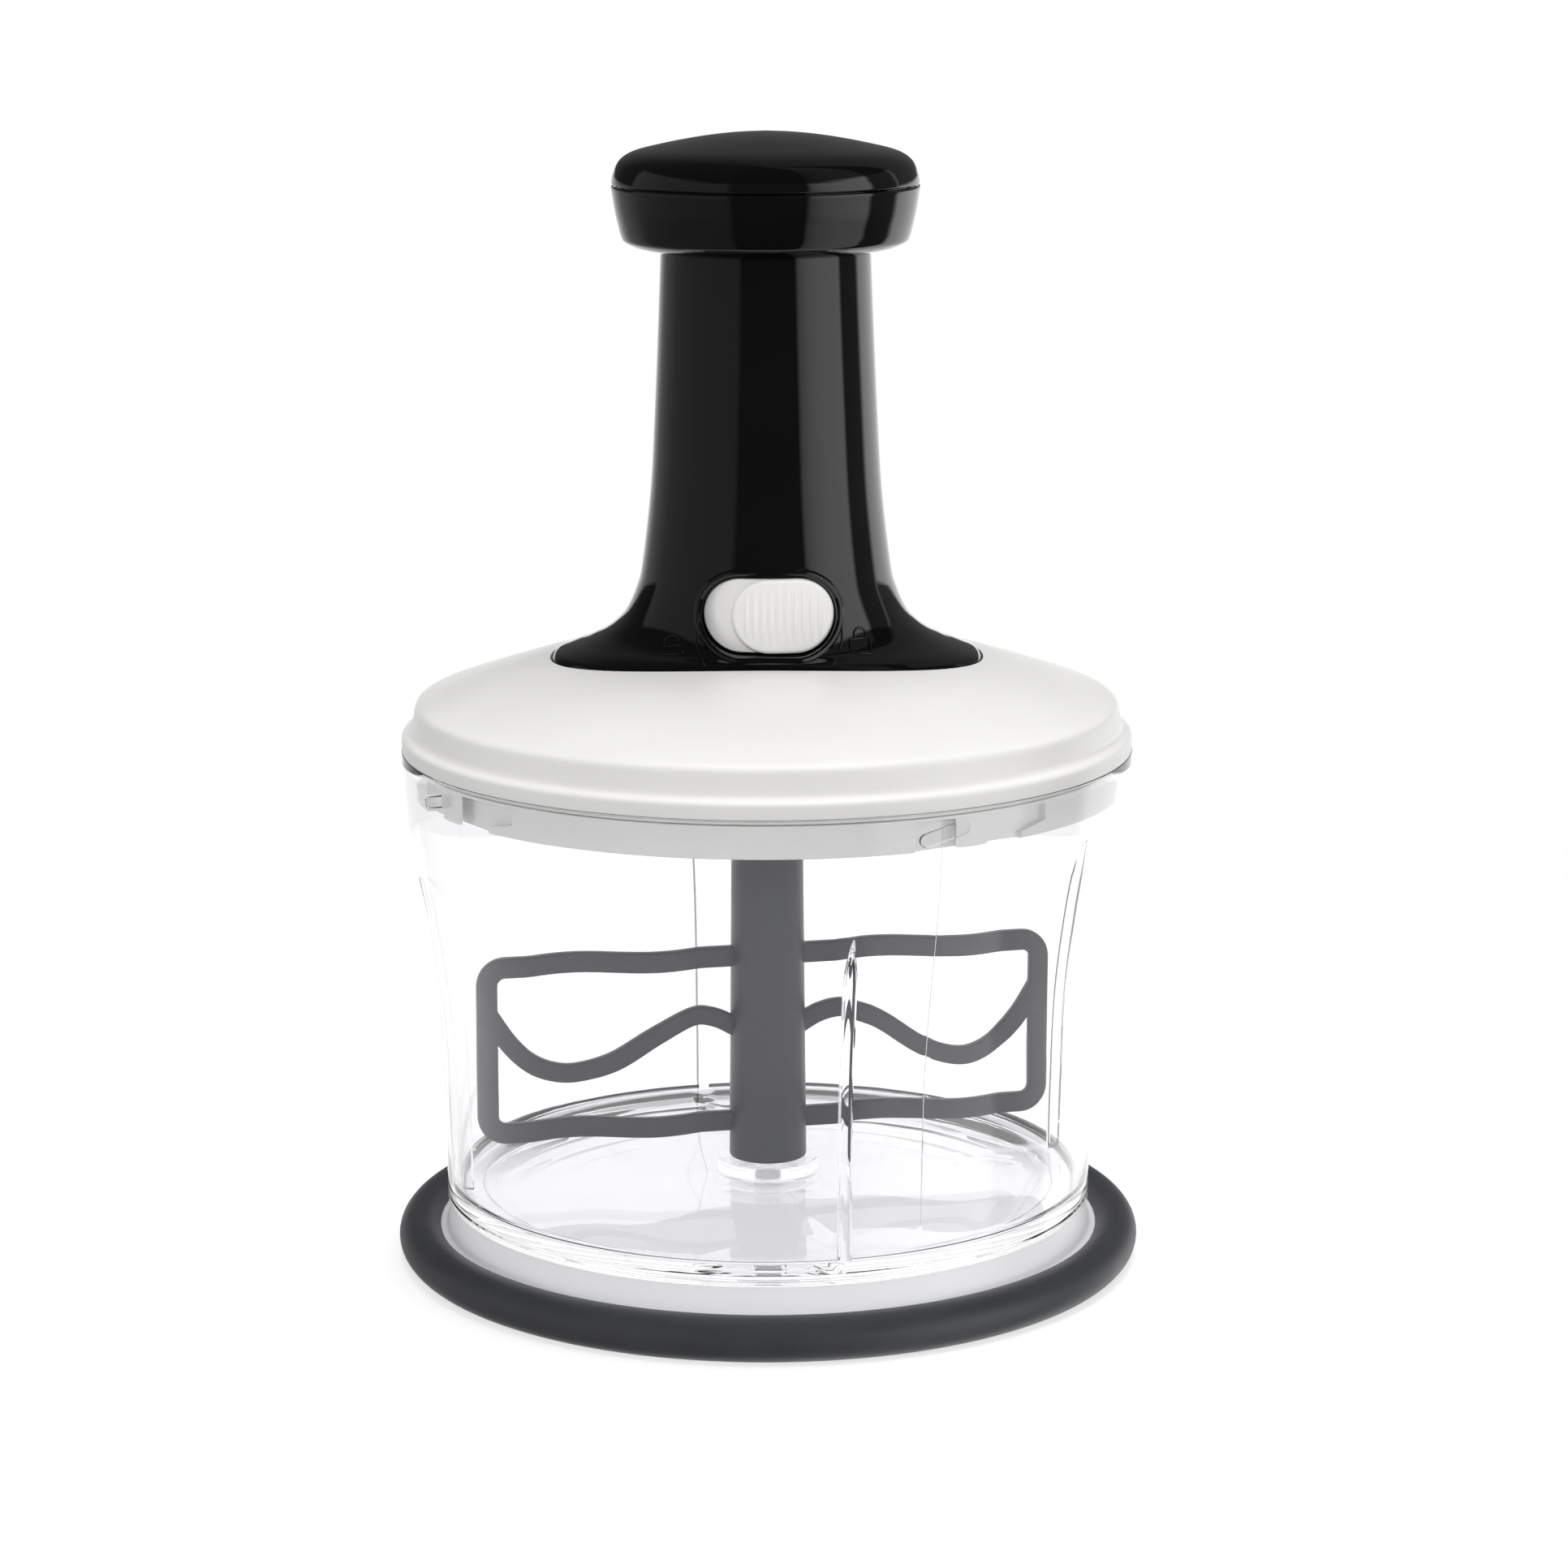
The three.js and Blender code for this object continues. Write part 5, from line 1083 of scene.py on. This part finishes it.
# places across and up in millimetres
PANEL_EDGE = [(15.4, 145), (15.5, 142.8), (15.3, 141), (14.5, 138.8), (13.5, 136.9)]
OPEN_BODY = [(-21.9, 140), (-21.9, 139.2), (-21.5, 138.7), (-18, 139.1), (-17.6, 140.4), (-18.4, 140.7)]
OPEN_SHACKLE = [(-21.5, 140.2), (-21.7, 141.1), (-21.2, 142), (-19.9, 142.4), (-18.8, 142.2), (-18.3, 141.4)]
CLOSED_BODY = [(17.7, 141.8), (17.7, 139.8), (18.1, 139.3), (22, 138.7), (22.1, 139.5), (21.7, 141.8)]
CLOSED_SHACKLE = [(18.7, 141.9), (18.5, 143), (19.2, 143.8), (20.3, 143.7), (21, 142.8), (21, 141.7)]
lines = [
    bead("panel_line", [on_column(WINDOW_X + side * x, z) for x, z in smooth_line(PANEL_EDGE, 5)], LINE_RADIUS)
    for side in (-1, 1)
]
lines += [bead("padlock", [on_column(x, z) for x, z in body], LINE_RADIUS, True) for body in (OPEN_BODY, CLOSED_BODY)]
lines += [
    bead("padlock", [on_column(x, z) for x, z in smooth_line(shackle, 4)], LINE_RADIUS)
    for shackle in (OPEN_SHACKLE, CLOSED_SHACKLE)
]
select_only(column)
for line in lines:
    line.select_set(True)
bpy.ops.object.join()
dress(column, "lid", "black_plastic", black_abs, "handle_column")

# %% [markdown]
# ## Lock
#
# Behind the window lies a curved white plate, and a ribbed button slides on it. Both are cut from
# flat stadium shapes and then laid on their cylinders, so seen from the front their outlines stay
# true.

# %% Lock plate and button
button_low, button_high = size_mm("lock_button")
BUTTON_RADIUS = -button_low.y
BUTTON_THICKNESS = 1.6
LOCK_HALF_HEIGHT = WINDOW_HALF_HEIGHT - WINDOW_GAP
BUTTON_X = WINDOW_X + (button_low.x + button_high.x) / 2
BUTTON_HALF_WIDTH = (button_high.x - button_low.x) / 2
PLATE_RADIUS = BUTTON_RADIUS - BUTTON_THICKNESS - 0.3
PLATE_THICKNESS = 1.8
FACE_COLUMNS = 30


def laid_on(piece, radius, x, bevel):
    """Rounds the front edge of a stadium, cuts its face into columns, and lays it on a cylinder."""
    rounded(piece, bevel, 4)
    bpy.ops.object.mode_set(mode="EDIT")
    half = max(v.co.x for v in piece.data.vertices)
    for i in range(1, FACE_COLUMNS):
        bpy.ops.mesh.select_all(action="SELECT")
        bpy.ops.mesh.bisect(plane_co=(half * (2 * i / FACE_COLUMNS - 1), 0, 0), plane_no=(1, 0, 0))
    bpy.ops.object.mode_set(mode="OBJECT")
    for v in piece.data.vertices:
        at = v.co.x + x * MM
        v.co = Vector((at, v.co.y - math.sqrt((radius * MM) ** 2 - at ** 2), v.co.z + WINDOW_Z * MM))
    shade()
    return piece


plate = stadium("white_lock_plate", WINDOW_HALF_WIDTH - WINDOW_GAP, LOCK_HALF_HEIGHT, PLATE_THICKNESS)
laid_on(plate, PLATE_RADIUS - PLATE_THICKNESS, WINDOW_X, 0.3)
dress(plate, "lid", "white_plastic", button_abs, "lock_plate")
button = stadium("white_lock_button", BUTTON_HALF_WIDTH, LOCK_HALF_HEIGHT, BUTTON_THICKNESS)
laid_on(button, BUTTON_RADIUS - BUTTON_THICKNESS, BUTTON_X, 0.7)
RIDGE_PITCH = 1.7
RIDGE_RADIUS = 0.7
RIDGE_SINK = 0.35
RIDGE_COUNT = 10
RIDGE_MARGIN = 0.9
for i in range(RIDGE_COUNT):
    offset = RIDGE_PITCH * (i - (RIDGE_COUNT - 1) / 2)
    over = max(0, abs(offset) - (BUTTON_HALF_WIDTH - LOCK_HALF_HEIGHT))
    half = math.sqrt((LOCK_HALF_HEIGHT - RIDGE_MARGIN) ** 2 - over ** 2)
    at = BUTTON_X + offset
    face = BUTTON_THICKNESS + math.sqrt((BUTTON_RADIUS - BUTTON_THICKNESS) ** 2 - at ** 2)
    clear_selection()
    bpy.ops.mesh.primitive_uv_sphere_add(segments=24, ring_count=24, radius=MM)
    ridge = bpy.context.object
    stretch = Matrix.Diagonal((RIDGE_RADIUS, RIDGE_RADIUS, half, 1))
    ridge.data.transform(Matrix.Translation((at * MM, -(face - RIDGE_SINK) * MM, WINDOW_Z * MM)) @ stretch)
    carve(button, ridge, "UNION")
shade(50)
dress(button, "lock", "white_plastic", button_abs, "lock_button")

# %% [markdown]
# ## Knob
#
# Two glossy black halves: a cup with a rounded underside, and a low domed cap. A fine seam runs
# between them, and each edge there is rounded so that the seam catches the light.

# %% Knob base
base_low, base_high = size_mm("knob_base")
KNOB_RADIUS = base_high.x
KNOB_WALL = 2
NECK_RADIUS = 23
HUB_RADIUS = 18.6
DISH_RADIUS = 28.3
# share of the knob's radius, height in millimetres
SKIRT_STEPS = [(0.873, 1), (0.922, 2), (0.940, 3.2), (0.955, 5.1), (0.976, 8.2), (0.991, 11.3)]
floor_z = base_low.z + 2.7
dish_z = floor_z + 2.3
skirt_line = smooth_line(
    [(KNOB_RADIUS * out, base_low.z + up) for out, up in SKIRT_STEPS] + [(KNOB_RADIUS, base_high.z - 0.5)], 4
)
inner_line = [(r - KNOB_WALL, z) for r, z in reversed(skirt_line) if z > floor_z + 3.2]
knob_base = spun("black_knob_base", softened([
    (NECK_RADIUS, base_low.z, 0.3), (KNOB_RADIUS * 0.77, base_low.z), *skirt_line,
    (KNOB_RADIUS - 0.1, base_high.z, 0.5), (KNOB_RADIUS - KNOB_WALL, base_high.z, 0.3), *inner_line,
    (DISH_RADIUS, dish_z), (HUB_RADIUS, dish_z), (HUB_RADIUS, floor_z), (NECK_RADIUS, floor_z),
]))
dress(knob_base, "plunger", "black_plastic", black_abs, "knob_base")

# %% Knob cap
_, cap_high = size_mm("knob_cap")
SEAM = 0.3
SPIGOT_PLAY = 0.8
SPIGOT_LENGTH = 3
# share of the knob's radius, share of the cap's height
CAP_SHARES = [
    (0.181, 0.975), (0.363, 0.92), (0.544, 0.835), (0.695, 0.745), (0.816, 0.66),
    (0.891, 0.573), (0.943, 0.458), (0.973, 0.32), (0.992, 0.155),
]
cap_low = base_high.z + SEAM
cap_height = cap_high.z - cap_low
dome_line = smooth_line(
    [(0, cap_high.z)] + [(KNOB_RADIUS * out, cap_low + cap_height * up) for out, up in CAP_SHARES], 4
)
under_line = [
    (r * (KNOB_RADIUS - KNOB_WALL) / KNOB_RADIUS, z - KNOB_WALL)
    for r, z in reversed(dome_line) if r < KNOB_RADIUS * 0.93
]
spigot = KNOB_RADIUS - KNOB_WALL - SPIGOT_PLAY
spigot_z = base_high.z - SPIGOT_LENGTH
knob_cap = spun("black_knob_cap", softened([
    *dome_line, (KNOB_RADIUS, cap_low, 0.5), (spigot, cap_low), (spigot, spigot_z, 0.3),
    (spigot - KNOB_WALL, spigot_z, 0.3), *under_line,
]))
dress(knob_cap, "plunger", "black_plastic", black_abs, "knob_cap")

# %% [markdown]
# ## Sleeve and guide
#
# When the knob springs up, a black tube shows between it and the column. It slides in a pale ring
# in the column's mouth. Low on its front it has an upright slot with a side leg, and the lock's
# tooth stands in it. Turned parts get rings of a lathe-like outline, and the slot is cut by sectors
# that are spun through a few degrees only.

# %% Plunger sleeve
sleeve_low, sleeve_high = size_mm("plunger_sleeve")
SLEEVE_RADIUS = 18.3
SLEEVE_WALL = 2
ROD_BORE = 3
FLANGE_THICKNESS = 2
NOTCH_HALF_TURN = 9.5
NOTCH_HALF_HEIGHT = 1.9
LATCH_TRAVEL = 13.5
flange_z = sleeve_high.z - FLANGE_THICKNESS
sleeve_bore = SLEEVE_RADIUS - SLEEVE_WALL
latch_turn = math.degrees((BUTTON_X - WINDOW_X) / BUTTON_RADIUS)
sleeve = spun("black_plunger_sleeve", softened([
    (sleeve_bore, sleeve_low.z, 0.3), (SLEEVE_RADIUS, sleeve_low.z, 0.5),
    (SLEEVE_RADIUS, flange_z, 0.3), (sleeve_high.x, flange_z, 0.3), (sleeve_high.x, sleeve_high.z, 0.3),
    (ROD_BORE, sleeve_high.z), (ROD_BORE, flange_z), (sleeve_bore, flange_z),
]))


def notch_cut(start, end, low):
    """A tool that cuts a stretch of the sleeve's wall, between two angles from the front."""
    notch_top = WINDOW_Z + NOTCH_HALF_HEIGHT
    inside, outside = sleeve_bore - 1, SLEEVE_RADIUS + 1
    corners = [(inside, low), (outside, low), (outside, notch_top), (inside, notch_top)]
    return turned_to(spun("notch", corners, steps=8, degrees=end - start), start + FRONT)


carve(sleeve, notch_cut(latch_turn - NOTCH_HALF_TURN, latch_turn + NOTCH_HALF_TURN, sleeve_low.z - 1))
carve(sleeve, notch_cut(latch_turn - LATCH_TRAVEL - NOTCH_HALF_TURN, latch_turn, WINDOW_Z - NOTCH_HALF_HEIGHT))
shade()
dress(sleeve, "plunger", "black_plastic", black_abs, "plunger_sleeve")

# %% Guide bush
bush_low, bush_high = size_mm("guide_bush")
bush_bore = SLEEVE_RADIUS + 0.4
bush = spun("guide_ring", softened([
    (bush_bore, bush_low.z, 0.4), (bush_high.x, bush_low.z, 0.3),
    (bush_high.x, bush_high.z, 0.3), (bush_bore, bush_high.z, 0.6),
]))
dress(bush, "lid", "inner_nylon", acetal, "guide_bush")
